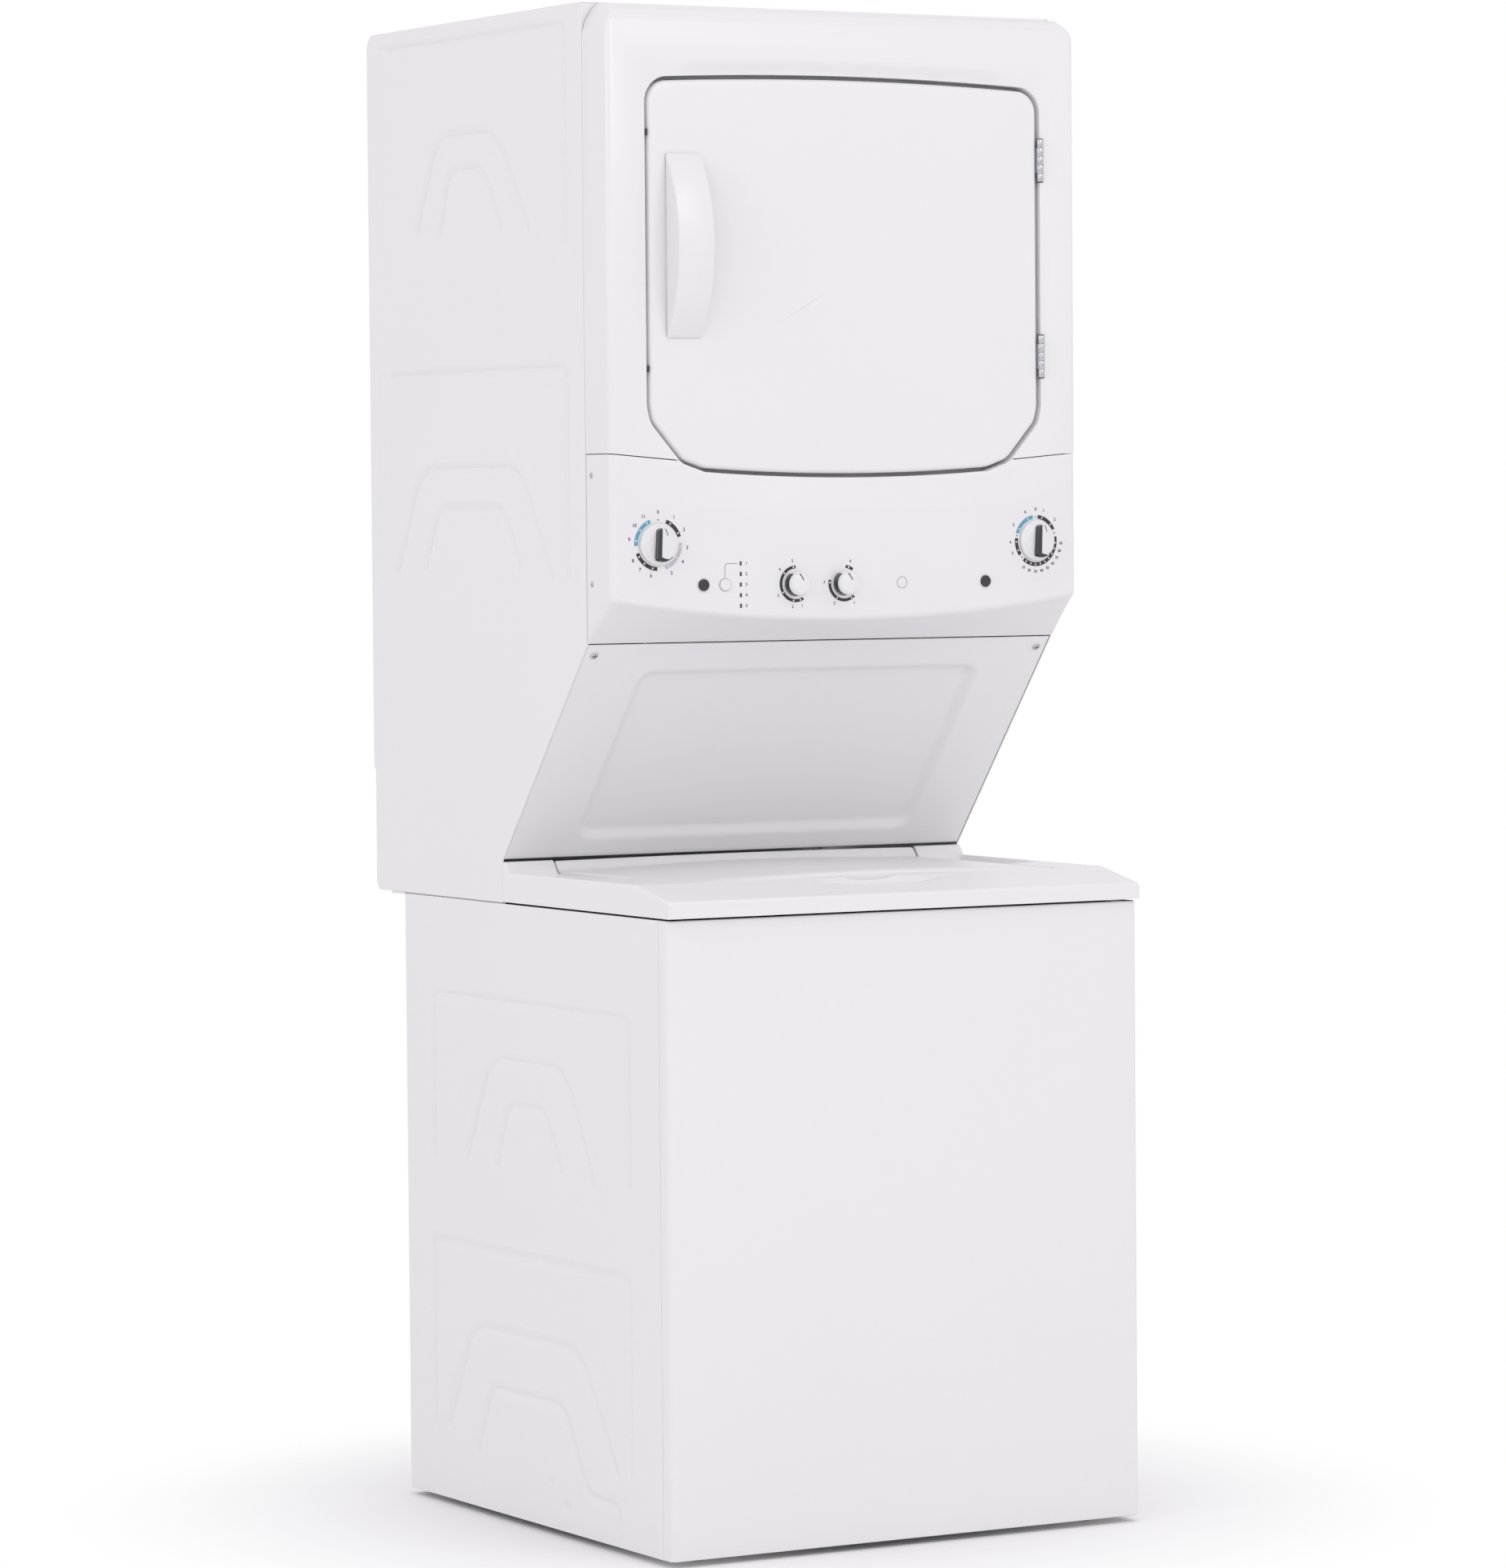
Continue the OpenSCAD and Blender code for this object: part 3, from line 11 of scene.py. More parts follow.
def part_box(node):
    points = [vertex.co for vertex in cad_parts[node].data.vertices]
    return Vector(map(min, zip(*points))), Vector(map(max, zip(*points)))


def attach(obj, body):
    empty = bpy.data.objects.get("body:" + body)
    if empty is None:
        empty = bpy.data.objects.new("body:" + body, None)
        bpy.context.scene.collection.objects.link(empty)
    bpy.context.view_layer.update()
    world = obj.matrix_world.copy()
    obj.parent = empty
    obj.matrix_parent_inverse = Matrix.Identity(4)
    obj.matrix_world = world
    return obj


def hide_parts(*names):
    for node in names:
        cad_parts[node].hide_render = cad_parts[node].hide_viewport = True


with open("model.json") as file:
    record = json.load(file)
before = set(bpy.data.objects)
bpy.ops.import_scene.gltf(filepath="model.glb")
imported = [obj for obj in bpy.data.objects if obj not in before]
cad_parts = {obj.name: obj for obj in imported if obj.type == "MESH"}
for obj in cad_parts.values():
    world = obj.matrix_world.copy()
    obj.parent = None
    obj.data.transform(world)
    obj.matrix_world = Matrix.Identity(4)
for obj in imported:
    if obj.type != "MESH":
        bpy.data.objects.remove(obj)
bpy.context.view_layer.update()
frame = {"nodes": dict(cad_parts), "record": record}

# ---------------------------------------------------------------- places and sizes
# Sizes are in millimetres from the washer's lower front edge: x to the right of the
# middle, y back from the front face, z up from the cabinet's bottom edge.
MM = 0.001
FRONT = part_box("washer_front_panel")[0].y
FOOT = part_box("washer_front_panel")[0].z


def at(x, y, z):
    """A point in the frame, in metres."""
    return Vector((x * MM, FRONT + y * MM, FOOT + z * MM))


def corners(node):
    """Lowest and highest corner of a CAD node, in millimetres."""
    return [(v.x / MM, (v.y - FRONT) / MM, (v.z - FOOT) / MM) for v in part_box(node)]


SIDES = ((-1, "left"), (1, "right"))
SHEET = 1.5              # wall of the casing's steel
SKIN = 2.2               # wall of the moulded cover, lid and console
SEAM = 1.2               # gap between neighbouring panels
LIP = 6.0                # the cover stands forward of the washer's front by this
HALF_W = corners("dryer_right_side")[1][0]
CAB_TOP = corners("washer_cabinet")[1][2]
CAB_BACK = corners("washer_cabinet")[1][1]
WRAP = corners("washer_front_panel")[1][1]
LID_HALF = corners("washer_lid")[1][0]
DECK_Z = CAB_TOP + 40.5
STACK_TOP = corners("dryer_top")[1][2]
STACK_BACK = corners("dryer_right_side")[1][1]
BACK_FACE = 795.0        # outer face of the dryer's back
SIDE_Y = corners("dryer_right_side")[0][1]
SIDE_LOW = corners("dryer_right_side")[0][2]
LOWER_Y = 433.0          # front edge of the dryer's sides below the slope
BEZEL_Y = corners("dryer_front_panel")[0][1]
DOOR_LO, DOOR_HI = corners("door_outer")
DOOR_HALF = DOOR_HI[0]
DOOR_Z0, DOOR_Z1 = DOOR_LO[2], DOOR_HI[2]
DOOR_Y = DOOR_LO[1]
DOOR_GAP = 5.0
HINGE_Z = (STACK_TOP - 186.5, STACK_TOP - 436.5)
HINGE_PLUG_Z = (STACK_TOP - 163, STACK_TOP - 455)

# Soft dish above the dryer's door: height, depth, bow of its lower edge, where its ends fade
DISH_H, DISH_D, DISH_BOW = 20.0, 3.5, 8.0
DISH_FADE = (210.0, 250.0)

# Console: lower edge, seam to the bezel, bow of its face, and the places of what it carries
CONSOLE_Z = corners("console_panel")[0][2] - SEAM
SEAM_Z = STACK_TOP - 559
BOW_D = 12.0
BOW_R = (HALF_W ** 2 + BOW_D ** 2) / (2 * BOW_D)
KNOB_Z = STACK_TOP - 672
BUTTON_Z = STACK_TOP - 723
CYCLE_X = 276.0
SELECTOR_X = (-84.0, -14.0)
START_X = (-214.0, 197.0)
RINSE_X = -184.0
LENS_X = -162.0
BADGE_X = 71.0

# Sloping panel: its upper and lower edge as (y, z), its length and its angle from level
PANEL_TOP = (SIDE_Y, CONSOLE_Z)
PANEL_LOW = (LOWER_Y, CAB_TOP + 55)
PANEL_L = math.hypot(PANEL_LOW[0] - PANEL_TOP[0], PANEL_LOW[1] - PANEL_TOP[1])
PANEL_A = math.atan2(PANEL_TOP[1] - PANEL_LOW[1], PANEL_LOW[0] - PANEL_TOP[0])


# ---------------------------------------------------------------- shader expressions
class Wire:
    """A shader socket that adds Math nodes when it is used in an expression."""

    def __init__(self, paint, socket):
        self.paint, self.socket = paint, socket

    def maths(self, operation, *values):
        return self.paint.node("ShaderNodeMath", {"operation": operation}, *values)

    def __add__(self, other):
        return self.maths("ADD", self, other)

    def __sub__(self, other):
        return self.maths("SUBTRACT", self, other)

    def __rsub__(self, other):
        return self.maths("SUBTRACT", other, self)

    def __mul__(self, other):
        return self.maths("MULTIPLY", self, other)

    def __truediv__(self, other):
        return self.maths("DIVIDE", self, other)

    def __rtruediv__(self, other):
        return self.maths("DIVIDE", other, self)

    __radd__ = __add__
    __rmul__ = __mul__

    def ramp(self, low, high):
        """0 below low, 1 above high, smooth between."""
        return self.paint.node("ShaderNodeMapRange", {"interpolation_type": "SMOOTHSTEP"}, self, low, high)


class Paint:
    """A material under construction, with one Principled shader."""

    def __init__(self, name, colour, roughness, metallic=0.0, coat=0.0, specular=0.5):
        self.material = bpy.data.materials.new(name)
        self.material.use_nodes = True
        self.tree = self.material.node_tree
        self.tree.nodes.clear()
        self.shader = self.tree.nodes.new("ShaderNodeBsdfPrincipled")
        self.output = self.tree.nodes.new("ShaderNodeOutputMaterial")
        self.tree.links.new(self.shader.outputs["BSDF"], self.output.inputs["Surface"])
        self.shader.inputs["Base Color"].default_value = (*colour, 1)
        self.shader.inputs["Roughness"].default_value = roughness
        self.shader.inputs["Metallic"].default_value = metallic
        self.shader.inputs["Coat Weight"].default_value = coat
        self.shader.inputs["Coat Roughness"].default_value = 0.2
        self.shader.inputs["Specular IOR Level"].default_value = specular
        self.material.diffuse_color = (*colour, 1)

    def plug(self, socket, value):
        """Links a wire to a socket, or sets the socket's own value."""
        if isinstance(value, Wire):
            self.tree.links.new(value.socket, socket)
        else:
            socket.default_value = value

    def node(self, kind, settings=None, *values, out=0, **named):
        """Adds a node: its settings first, then its sockets in order or by name."""
        made = self.tree.nodes.new(kind)
        for key, value in (settings or {}).items():
            setattr(made, key, value)
        for socket, value in zip(made.inputs, values):
            if value is not None:
                self.plug(socket, value)
        for key, value in named.items():
            self.plug(made.inputs[key.replace("_", " ")], value)
        return Wire(self, made.outputs[out])

    def place(self):
        return self.node("ShaderNodeTexCoord", out="Object")

    def axis(self, name):
        """One coordinate of the piece, in metres."""
        return self.node("ShaderNodeSeparateXYZ", None, self.place(), out=name)

    def noise(self, scale, detail=2.0, stretch=(1, 1, 1)):
        where = self.node("ShaderNodeMapping", None, self.place(), Scale=stretch)
        return self.node("ShaderNodeTexNoise", None, Vector=where, Scale=scale, Detail=detail, out="Fac")

    def mix(self, factor, first, second):
        """Two colours mixed; a plain colour is three numbers."""
        made = self.tree.nodes.new("ShaderNodeMix")
        made.data_type = "RGBA"
        self.plug(made.inputs["Factor"], factor)
        for socket, value in ((made.inputs[6], first), (made.inputs[7], second)):
            self.plug(socket, value if isinstance(value, Wire) else (*value, 1))
        return Wire(self, made.outputs[2])

    def bump(self, height, strength, distance):
        normal = self.node("ShaderNodeBump", None, Strength=strength, Distance=distance, Height=height)
        self.plug(self.shader.inputs["Normal"], normal)

    def set(self, socket, value):
        self.plug(self.shader.inputs[socket], value)


def shade(colour, factor):
    return tuple(c * factor for c in colour)


def enamel(name, colour, coat, pressed=None):
    """Baked enamel on steel: a faint orange peel and hardly any change of tone."""
    paint = Paint(name, colour, 0.32, coat=coat)
    broad = paint.noise(5.0, 3.0)
    peel = paint.noise(420.0, 2.0)
    paint.set("Base Color", paint.mix(broad, shade(colour, 0.985), colour))
    paint.set("Roughness", 0.27 + 0.08 * paint.noise(38.0, 3.0) + 0.03 * peel)
    height = peel * 0.00004
    if pressed:
        height = height + pressed(paint)
    paint.bump(height, 1.0, 1.0)
    return paint.material


def dish_over_door(paint):
    """Height in metres of the soft dish between the door's top edge and the face above it."""
    x, z = paint.axis("X"), paint.axis("Z")
    edge = at(0, 0, DOOR_Z1 + DOOR_GAP).z
    rise = (z + x * x * (DISH_BOW * MM / (DOOR_HALF * MM) ** 2) - edge) / (DISH_H * MM)
    start, end = (v * MM for v in DISH_FADE)
    fade = paint.node("ShaderNodeMath", {"operation": "ABSOLUTE"}, x).ramp(start, end)
    return (1 - (1 - fade) * (1 - rise.ramp(0, 1))) * (DISH_D * MM)


def moulded(name, colour, roughness, grain=0.12, coat=0.0):
    """Moulded plastic, with a fine spark-eroded grain where it isn't glossy."""
    paint = Paint(name, colour, roughness, coat=coat)
    paint.set("Base Color", paint.mix(paint.noise(9.0, 2.0), shade(colour, 0.96), colour))
    paint.set("Roughness", roughness - 0.04 + 0.08 * paint.noise(60.0, 2.0))
    if grain:
        paint.bump(paint.noise(900.0, 2.0), grain, 0.0002)
    return paint.material


def sheet_metal(name, colour, roughness, stretch, spangle=0.0):
    """Bare or plated steel, brushed along one way, with a spangle on galvanised sheet."""
    paint = Paint(name, colour, roughness, metallic=1.0)
    brushed = paint.noise(160.0, 3.0, stretch)
    tone = brushed
    if spangle:
        cells = paint.node("ShaderNodeTexVoronoi", None, paint.place(), Scale=55.0, out="Color")
        grey = paint.node("ShaderNodeSeparateColor", None, cells, out="Red")
        tone = brushed * (1 - spangle) + grey * spangle
    paint.set("Base Color", paint.mix(tone, shade(colour, 0.86), shade(colour, 1.04)))
    paint.set("Roughness", roughness - 0.08 + 0.16 * tone)
    paint.bump(brushed, 0.15, 0.0002)
    return paint.material


def rubbery(name, colour):
    """Rubber with a dull, dusty face."""
    paint = Paint(name, colour, 0.7)
    dust = paint.noise(30.0, 4.0)
    paint.set("Base Color", paint.mix(dust.ramp(0.45, 0.8), colour, shade(colour, 1.9)))
    paint.set("Roughness", 0.6 + 0.25 * dust)
    paint.bump(paint.noise(700.0, 2.0), 0.2, 0.0002)
    return paint.material


WHITE = (0.84, 0.84, 0.845)
FINISH = {
    "white_enamel": enamel("white enamel", WHITE, 0.25),
    "white_plastic": moulded("white gloss plastic", (0.84, 0.84, 0.845), 0.30, 0.0),
    "knob_plastic": moulded("white knob plastic", (0.83, 0.83, 0.835), 0.27, 0.0),
    "dark_button": moulded("dark button plastic", (0.022, 0.024, 0.028), 0.22, 0.05, 0.4),
    "lens_grey": moulded("indicator lens", (0.035, 0.037, 0.042), 0.15, 0.02, 0.5),
    "galvanised": sheet_metal("galvanised sheet", (0.62, 0.64, 0.66), 0.42, (1, 1, 1), 0.55),
    "steel": sheet_metal("stainless steel", (0.66, 0.66, 0.66), 0.30, (0.08, 1, 1)),
    "hinge_steel": sheet_metal("zinc plated steel", (0.62, 0.63, 0.65), 0.30, (1, 1, 0.1)),
    "tub_plastic": moulded("tub plastic", (0.74, 0.75, 0.77), 0.45, 0.25),
    "dark_plastic": moulded("dark plastic", (0.035, 0.036, 0.040), 0.5, 0.3),
    "valve_green": moulded("valve plastic", (0.09, 0.20, 0.13), 0.5, 0.3),
    "motor_paint": moulded("motor lacquer", (0.06, 0.065, 0.075), 0.4, 0.4),
    "glide_nylon": moulded("nylon", (0.80, 0.77, 0.66), 0.45, 0.2),
    "rubber": rubbery("rubber", (0.020, 0.020, 0.022)),
}
INK = {
    "dark": moulded("dark ink", (0.030, 0.032, 0.036), 0.5, 0.0),
    "blue": moulded("blue ink", (0.13, 0.36, 0.52), 0.5, 0.0),
    "grey": moulded("grey ink", (0.52, 0.54, 0.58), 0.5, 0.0),
    "pale": moulded("white ink", (0.82, 0.82, 0.83), 0.5, 0.0),
}


# ---------------------------------------------------------------- mesh tools
def arc(radius, start, end, steps):
    """Points along part of a circle, both ends included."""
    return [(radius * math.cos(a), radius * math.sin(a)) for a in np.linspace(start, end, steps)]


def circle(radius, steps):
    """Points round a whole circle, anticlockwise."""
    return arc(radius, 0, 2 * math.pi, steps + 1)[:-1]


def points_of(x, y, z):
    """Rows of points from three grids of millimetres."""
    return [[at(*p) for p in zip(*row)] for row in zip(x, y, z)]


def add_grid(bm, rows, wrap=False):
    """Quads between rows of points, all of one length; wrap joins each row's ends."""
    made = [[bm.verts.new(p) for p in row] for row in rows]
    for low, high in zip(made, made[1:]):
        count = len(low)
        for i in range(count if wrap else count - 1):
            k = (i + 1) % count
            bm.faces.new((low[i], low[k], high[k], high[i]))
    return made


def add_tube(bm, rows):
    """A closed solid from rings of points, with a flat cap at each end."""
    add_grid(bm, rows, wrap=True)
    for ring in (rows[0], rows[-1]):
        bm.faces.new([bm.verts.new(p) for p in ring])


def add_box(bm, low, high):
    """A block between two corners, in millimetres."""
    x, y, z = zip(low, high)
    ring = [(0, 0), (1, 0), (1, 1), (0, 1)]
    add_tube(bm, [[at(x[i], y[j], z[k]) for i, j in ring] for k in (0, 1)])


def add_side_box(bm, side, across, along, up):
    """A block on the left or right, from its (inner, outer), (front, back) and (low, high)."""
    add_box(bm, *zip(sorted(side * v for v in across), along, up))


def finish_mesh(bm, name, sharp=32, outward=True):
    """Merges doubles, turns the faces outwards and makes the object."""
    bmesh.ops.remove_doubles(bm, verts=bm.verts, dist=2e-6)
    bmesh.ops.dissolve_degenerate(bm, dist=1e-6, edges=bm.edges)
    if outward:
        bmesh.ops.recalc_face_normals(bm, faces=bm.faces)
    mesh = bpy.data.meshes.new(name)
    bm.to_mesh(mesh)
    bm.free()
    mesh.shade_smooth()
    mesh.set_sharp_from_angle(angle=math.radians(sharp))
    obj = bpy.data.objects.new(name, mesh)
    bpy.context.scene.collection.objects.link(obj)
    return obj


def baked(obj):
    """The object with its modifiers applied to its mesh."""
    graph = bpy.context.evaluated_depsgraph_get()
    mesh = bpy.data.meshes.new_from_object(obj.evaluated_get(graph))
    obj.modifiers.clear()
    obj.data = mesh
    return obj


def piece(obj, body, slot, *nodes, material=None):
    """Gives a finished piece its material, its slot's finish unless one is given, and its body."""
    obj.data.materials.clear()
    obj.data.materials.append(material or FINISH[slot])
    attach(obj, body)
    if nodes:
        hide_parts(*nodes)
    return obj


def thickened(bm, name, thickness, inwards, sharp=32):
    """Gives a skin its wall, on the side that the inwards direction points to."""
    bmesh.ops.remove_doubles(bm, verts=bm.verts, dist=2e-6)
    bmesh.ops.recalc_face_normals(bm, faces=bm.faces)
    total = sum((f.normal * f.calc_area() for f in bm.faces), Vector())
    if total.dot(inwards) > 0:
        bmesh.ops.reverse_faces(bm, faces=bm.faces)
    obj = finish_mesh(bm, name, sharp, outward=False)
    solid = obj.modifiers.new("wall", "SOLIDIFY")
    solid.thickness = thickness * MM
    solid.offset = -1
    solid.use_even_offset = False
    baked(obj)
    obj.data.set_sharp_from_angle(angle=math.radians(sharp))
    return obj


def spread(low, high, step, radius=0.0):
    """Stations from low to high, closer together near the ends where an edge is round."""
    ends = [radius * t for t in (0, 0.08, 0.25, 0.5, 0.75, 1)] if radius else [0]
    count = max(1, round((high - low - 2 * radius) / step))
    inner = np.linspace(low + radius, high - radius, count + 1)
    return np.unique(np.round(np.concatenate(
        [low + np.array(ends), inner, high - np.array(ends)]), 4))


def edge_drop(distance, radius):
    """How far a round edge of that radius falls away at a distance from the edge."""
    e = np.clip(radius - np.asarray(distance, float), 0, radius)
    return radius - np.sqrt(radius ** 2 - e ** 2)


def smooth(t):
    """0 to 1 with soft ends."""
    t = np.clip(t, 0, 1)
    return t * t * (3 - 2 * t)


def rounded(points, radius, steps=6):
    """A line through points with its inner corners rounded."""
    points = [np.array(p, float) for p in points]
    out = [points[0]]
    for a, b, c in zip(points, points[1:], points[2:]):
        back, ahead = np.linalg.norm(a - b), np.linalg.norm(c - b)
        cut = min(radius, back / 2, ahead / 2)
        start, end = b + (a - b) / back * cut, b + (c - b) / ahead * cut
        for i in range(steps + 1):
            t = i / steps
            out.append((1 - t) ** 2 * start + 2 * t * (1 - t) * b + t * t * end)
    return out + [points[-1]]


# ---------------------------------------------------------------- stamped side panels
BEAD_W, BEAD_D = 7.5, 3.0
THIN = SHEET - 0.3       # wall of the stamped skins, which keeps them off the flanges behind
STATION = 4.4            # height between a side skin's rows of points

# Each bead is a line through (y, z) points and the radius of its corners
DRYER_BEADS = [
    ([(770, 1640), (770, 1892), (247, 1892), (247, 1625)], 16),
    ([(660, 1650), (598, 1772), (430, 1768), (346, 1642)], 42),
    ([(594, 1645), (566, 1726), (471, 1726), (421, 1646)], 26),
    ([(768, 1202), (768, 1465), (247, 1465), (247, 1204)], 16),
    ([(725, 1208), (655, 1342), (375, 1342), (291, 1202)], 42),
    ([(642, 1216), (605, 1292), (423, 1292), (378, 1217)], 26),
]
WASHER_BEADS = [
    ([(636, 445), (636, 660), (102, 660), (102, 449)], 16),
    ([(542, 453), (474, 586), (270, 586), (196, 447)], 42),
    ([(458, 450), (426, 530), (325, 530), (281, 455)], 26),
    ([(640, 95), (640, 338), (104, 338), (104, 93)], 16),
    ([(601, 99), (530, 236), (238, 236), (141, 94)], 42),
    ([(519, 74), (480, 160), (280, 160), (217, 52), (136, 52), (136, 16)], 26),
]
DIMPLES, DIMPLE_R = [(316, 59), (271, 32)], 6.0
BEAD_REAR_Y = 740        # behind this the back's flange lies against the side
BACK_HOLES = [           # left, right, low and high of the service, valve and drain openings
    (-150, 150, 60, 220), (-236, -144, 683, 711), (185, 215, 711.5, 741.5),
]
TOP_R, LOW_R = 20.0, 12.0            # round rear corners of the dryer's sides
STEP_D, STEP_Z = 5.0, CAB_TOP + 166  # the sides step back at the rear below this height


def bead_depth(y, z, beads):
    """Depth of the stamped beads at each point of a panel."""
    depth = np.zeros_like(y)
    for points, radius in beads:
        line = rounded(points, radius)
        nearest = np.full_like(y, 1e9)
        for a, b in zip(line, line[1:]):
            d = b - a
            if d @ d < 1e-9:
                continue
            t = np.clip(((y - a[0]) * d[0] + (z - a[1]) * d[1]) / (d @ d), 0, 1)
            nearest = np.minimum(nearest, np.hypot(y - a[0] - t * d[0], z - a[1] - t * d[1]))
        depth = np.maximum(depth, BEAD_D * smooth(1 - nearest / BEAD_W))
    return depth


def side_skin(side, zs, front_of, back_of, beads, dimples=()):
    """A stamped side panel: a closed slab whose outer face carries the beads."""
    fractions = spread(0, 1, 1 / 150, 0.006)
    z = np.repeat(np.array(zs)[:, None], len(fractions), 1)
    front = np.array([front_of(v) for v in zs])[:, None]
    back = np.array([back_of(v) for v in zs])[:, None]
    y = front + (back - front) * fractions[None, :]
    depth = bead_depth(y, z, beads)
    for dy, dz in dimples:
        depth = np.maximum(depth, BEAD_D * smooth(1.4 - np.hypot(y - dy, z - dz) / DIMPLE_R))
    edge = np.minimum(np.minimum(y - front, back - y), np.minimum(z - zs[0], zs[-1] - z))
    depth = np.where(y > BEAD_REAR_Y, np.minimum(depth, THIN), depth) + edge_drop(edge, 1.0)
    bm = bmesh.new()
    skins = [points_of(side * (HALF_W - depth - wall), y, z) for wall in (0, THIN)]
    for skin in skins:
        add_grid(bm, skin)
    for i in (0, -1):
        add_grid(bm, [skin[i] for skin in skins])
        add_grid(bm, [[row[i] for row in skin] for skin in skins])
    return bm


def washer_cabinet():
    """Wrapped cabinet: two stamped sides, the back with its openings, and flanges."""
    low, high = (corner[2] for corner in corners("washer_cabinet"))
    zs = spread(low, high, STATION, 1.2)
    outer, front = HALF_W - SHEET, WRAP - 8
    flanges = [              # (inner, outer), (front, back) and (low, high)
        ((outer - SHEET, outer), (front, WRAP + 25), (0, CAB_TOP)),
        ((HALF_W - 20, outer), (front, CAB_BACK - SHEET), (CAB_TOP - 3, CAB_TOP - 1.5)),
        *(((HALF_W - 66, outer), (y - 22, y + 22), (740, 743)) for y in (60, 570)),
    ]
    for side, name in SIDES:
        bm = side_skin(side, zs, lambda z: WRAP + SEAM, lambda z: CAB_BACK, WASHER_BEADS, DIMPLES)
        for flange in flanges:
            add_side_box(bm, side, *flange)
        piece(finish_mesh(bm, "washer_side_" + name), "root", "white_enamel")
    bm = bmesh.new()
    xs = sorted({-outer, outer, *(x for hole in BACK_HOLES for x in hole[:2])})
    heights = sorted({0, CAB_TOP - 2, *(z for hole in BACK_HOLES for z in hole[2:])})
    for x0, x1 in zip(xs, xs[1:]):
        for z0, z1 in zip(heights, heights[1:]):
            x, z = (x0 + x1) / 2, (z0 + z1) / 2
            if not any(left < x < right and low < z < high for left, right, low, high in BACK_HOLES):
                add_grid(bm, [[at(x, CAB_BACK, z) for x in (x0, x1)] for z in (z0, z1)])
    back = thickened(bm, "washer_back", SHEET, Vector((0, -1, 0)))
    piece(back, "root", "white_enamel", "washer_cabinet")


def dryer_sides():
    """Stamped side panels of the dryer, with the slope beside the access panel."""
    top, low, outer = STACK_TOP - TOP_R, SIDE_LOW + LOW_R, HALF_W - SHEET

    def front_of(z):
        t = (PANEL_TOP[1] - z) / (PANEL_TOP[1] - PANEL_LOW[1])
        return SIDE_Y + (LOWER_Y - SIDE_Y) * min(1, max(0, t))

    def back_of(z):
        if z > top:
            return STACK_BACK - TOP_R + math.sqrt(max(0, TOP_R ** 2 - (z - top) ** 2))
        if z < low:
            return STACK_BACK - STEP_D - LOW_R + math.sqrt(max(0, LOW_R ** 2 - (low - z) ** 2))
        return STACK_BACK - STEP_D * float(smooth((STEP_Z - z) / 8))

    corner_zs = [top + TOP_R * math.sin(math.radians(a)) for a in range(0, 90, 9)]
    corner_zs += [low - LOW_R * math.sin(math.radians(a)) for a in range(0, 90, 15)]
    marks = [PANEL_LOW[1], PANEL_TOP[1], STEP_Z - 7, STEP_Z - 4, STEP_Z]
    zs = np.unique(np.concatenate([spread(SIDE_LOW, STACK_TOP, STATION, 1.2), corner_zs, marks]))
    zs = zs[np.concatenate([[True], np.diff(zs) > 0.05])]
    flanges = [              # inner edge from the outer face, (front, back) and (low, high)
        (15, (SIDE_Y + 0.2, SIDE_Y + SHEET), (CONSOLE_Z + 14, STACK_TOP - 6)),
        (26, (SIDE_Y + 0.3, SIDE_Y + 2), (STACK_TOP - 40, STACK_TOP - SHEET - 0.2)),
        (15, (SIDE_Y + 8, STACK_BACK - 24), (STACK_TOP - 3, STACK_TOP - SHEET - 0.1)),
        (20, (BACK_FACE - 1.4, BACK_FACE), (CAB_TOP + 21, STACK_TOP - 48)),
        (15, (LOWER_Y + 8, STACK_BACK - 20), (SIDE_LOW + 1, SIDE_LOW + 2.5)),
    ]
    for side, name in SIDES:
        bm = side_skin(side, list(zs), front_of, back_of, DRYER_BEADS)
        for inner, along, up in flanges:
            add_side_box(bm, side, (HALF_W - inner, outer), along, up)
        piece(finish_mesh(bm, "dryer_skin_" + name), "root", "white_enamel", "dryer_%s_side" % name)


def front_wrap():
    """The washer's front panel, wrapped round the front corners."""
    turn, rim = 8.0, 1.6
    right = [(HALF_W, WRAP), (HALF_W, 14)]
    right += [(HALF_W - turn + u, turn - v) for u, v in arc(turn, 0, math.pi / 2, 10)]
    right += [(x, 0.0) for x in (300, 200, 100, 0)]
    line = right + [(-x, y) for x, y in right[-2::-1]]
    rows = []
    for z in spread(0, CAB_TOP, 60, rim):
        inset = float(edge_drop(min(z, CAB_TOP - z), rim))
        rows.append([at(x - inset * np.sign(x) * (abs(x) > HALF_W - turn), y + inset * (y < turn), z)
                     for x, y in line])
    bm = bmesh.new()
    add_grid(bm, rows)
    obj = thickened(bm, "washer_front", SHEET - 0.1, Vector((0, 1, 0)), 40)
    piece(obj, "root", "white_enamel", "washer_front_panel")


# ---------------------------------------------------------------- top cover and lid
POCKET = LID_HALF + 1.5                          # half width of the lid's pocket
TROUGH_OUT, TROUGH_D = HALF_W - 4.5, 12.0        # outer edge and depth of the side troughs
LIP_Z, SLOPE_END = CAB_TOP + 23, 79.0            # height of the front lip; where its slope ends
RISE_Y0, RISE_Y1, RISE_H = 416.0, 429.0, 13.0    # the rise behind the lid
MOUTH_HALF, MOUTH_Y0, MOUTH_Y1 = 217.0, 103.0, 405.0     # the opening over the basket
REAR_DECK_Y = (713.0, 751.0)                     # the deck behind the cabinet's back
SCOOP_X, SCOOP_Y, SCOOP_D = (-8.0, 88.0), (60.0, 19.0), 12.5     # middle, half size; depth
COVER_R = 3.0                                    # round edges of cover and lid
PIVOT_Y, PIVOT_Z, PIVOT_R = 418.0, 810.0, 4.0    # the lid's hinge pins


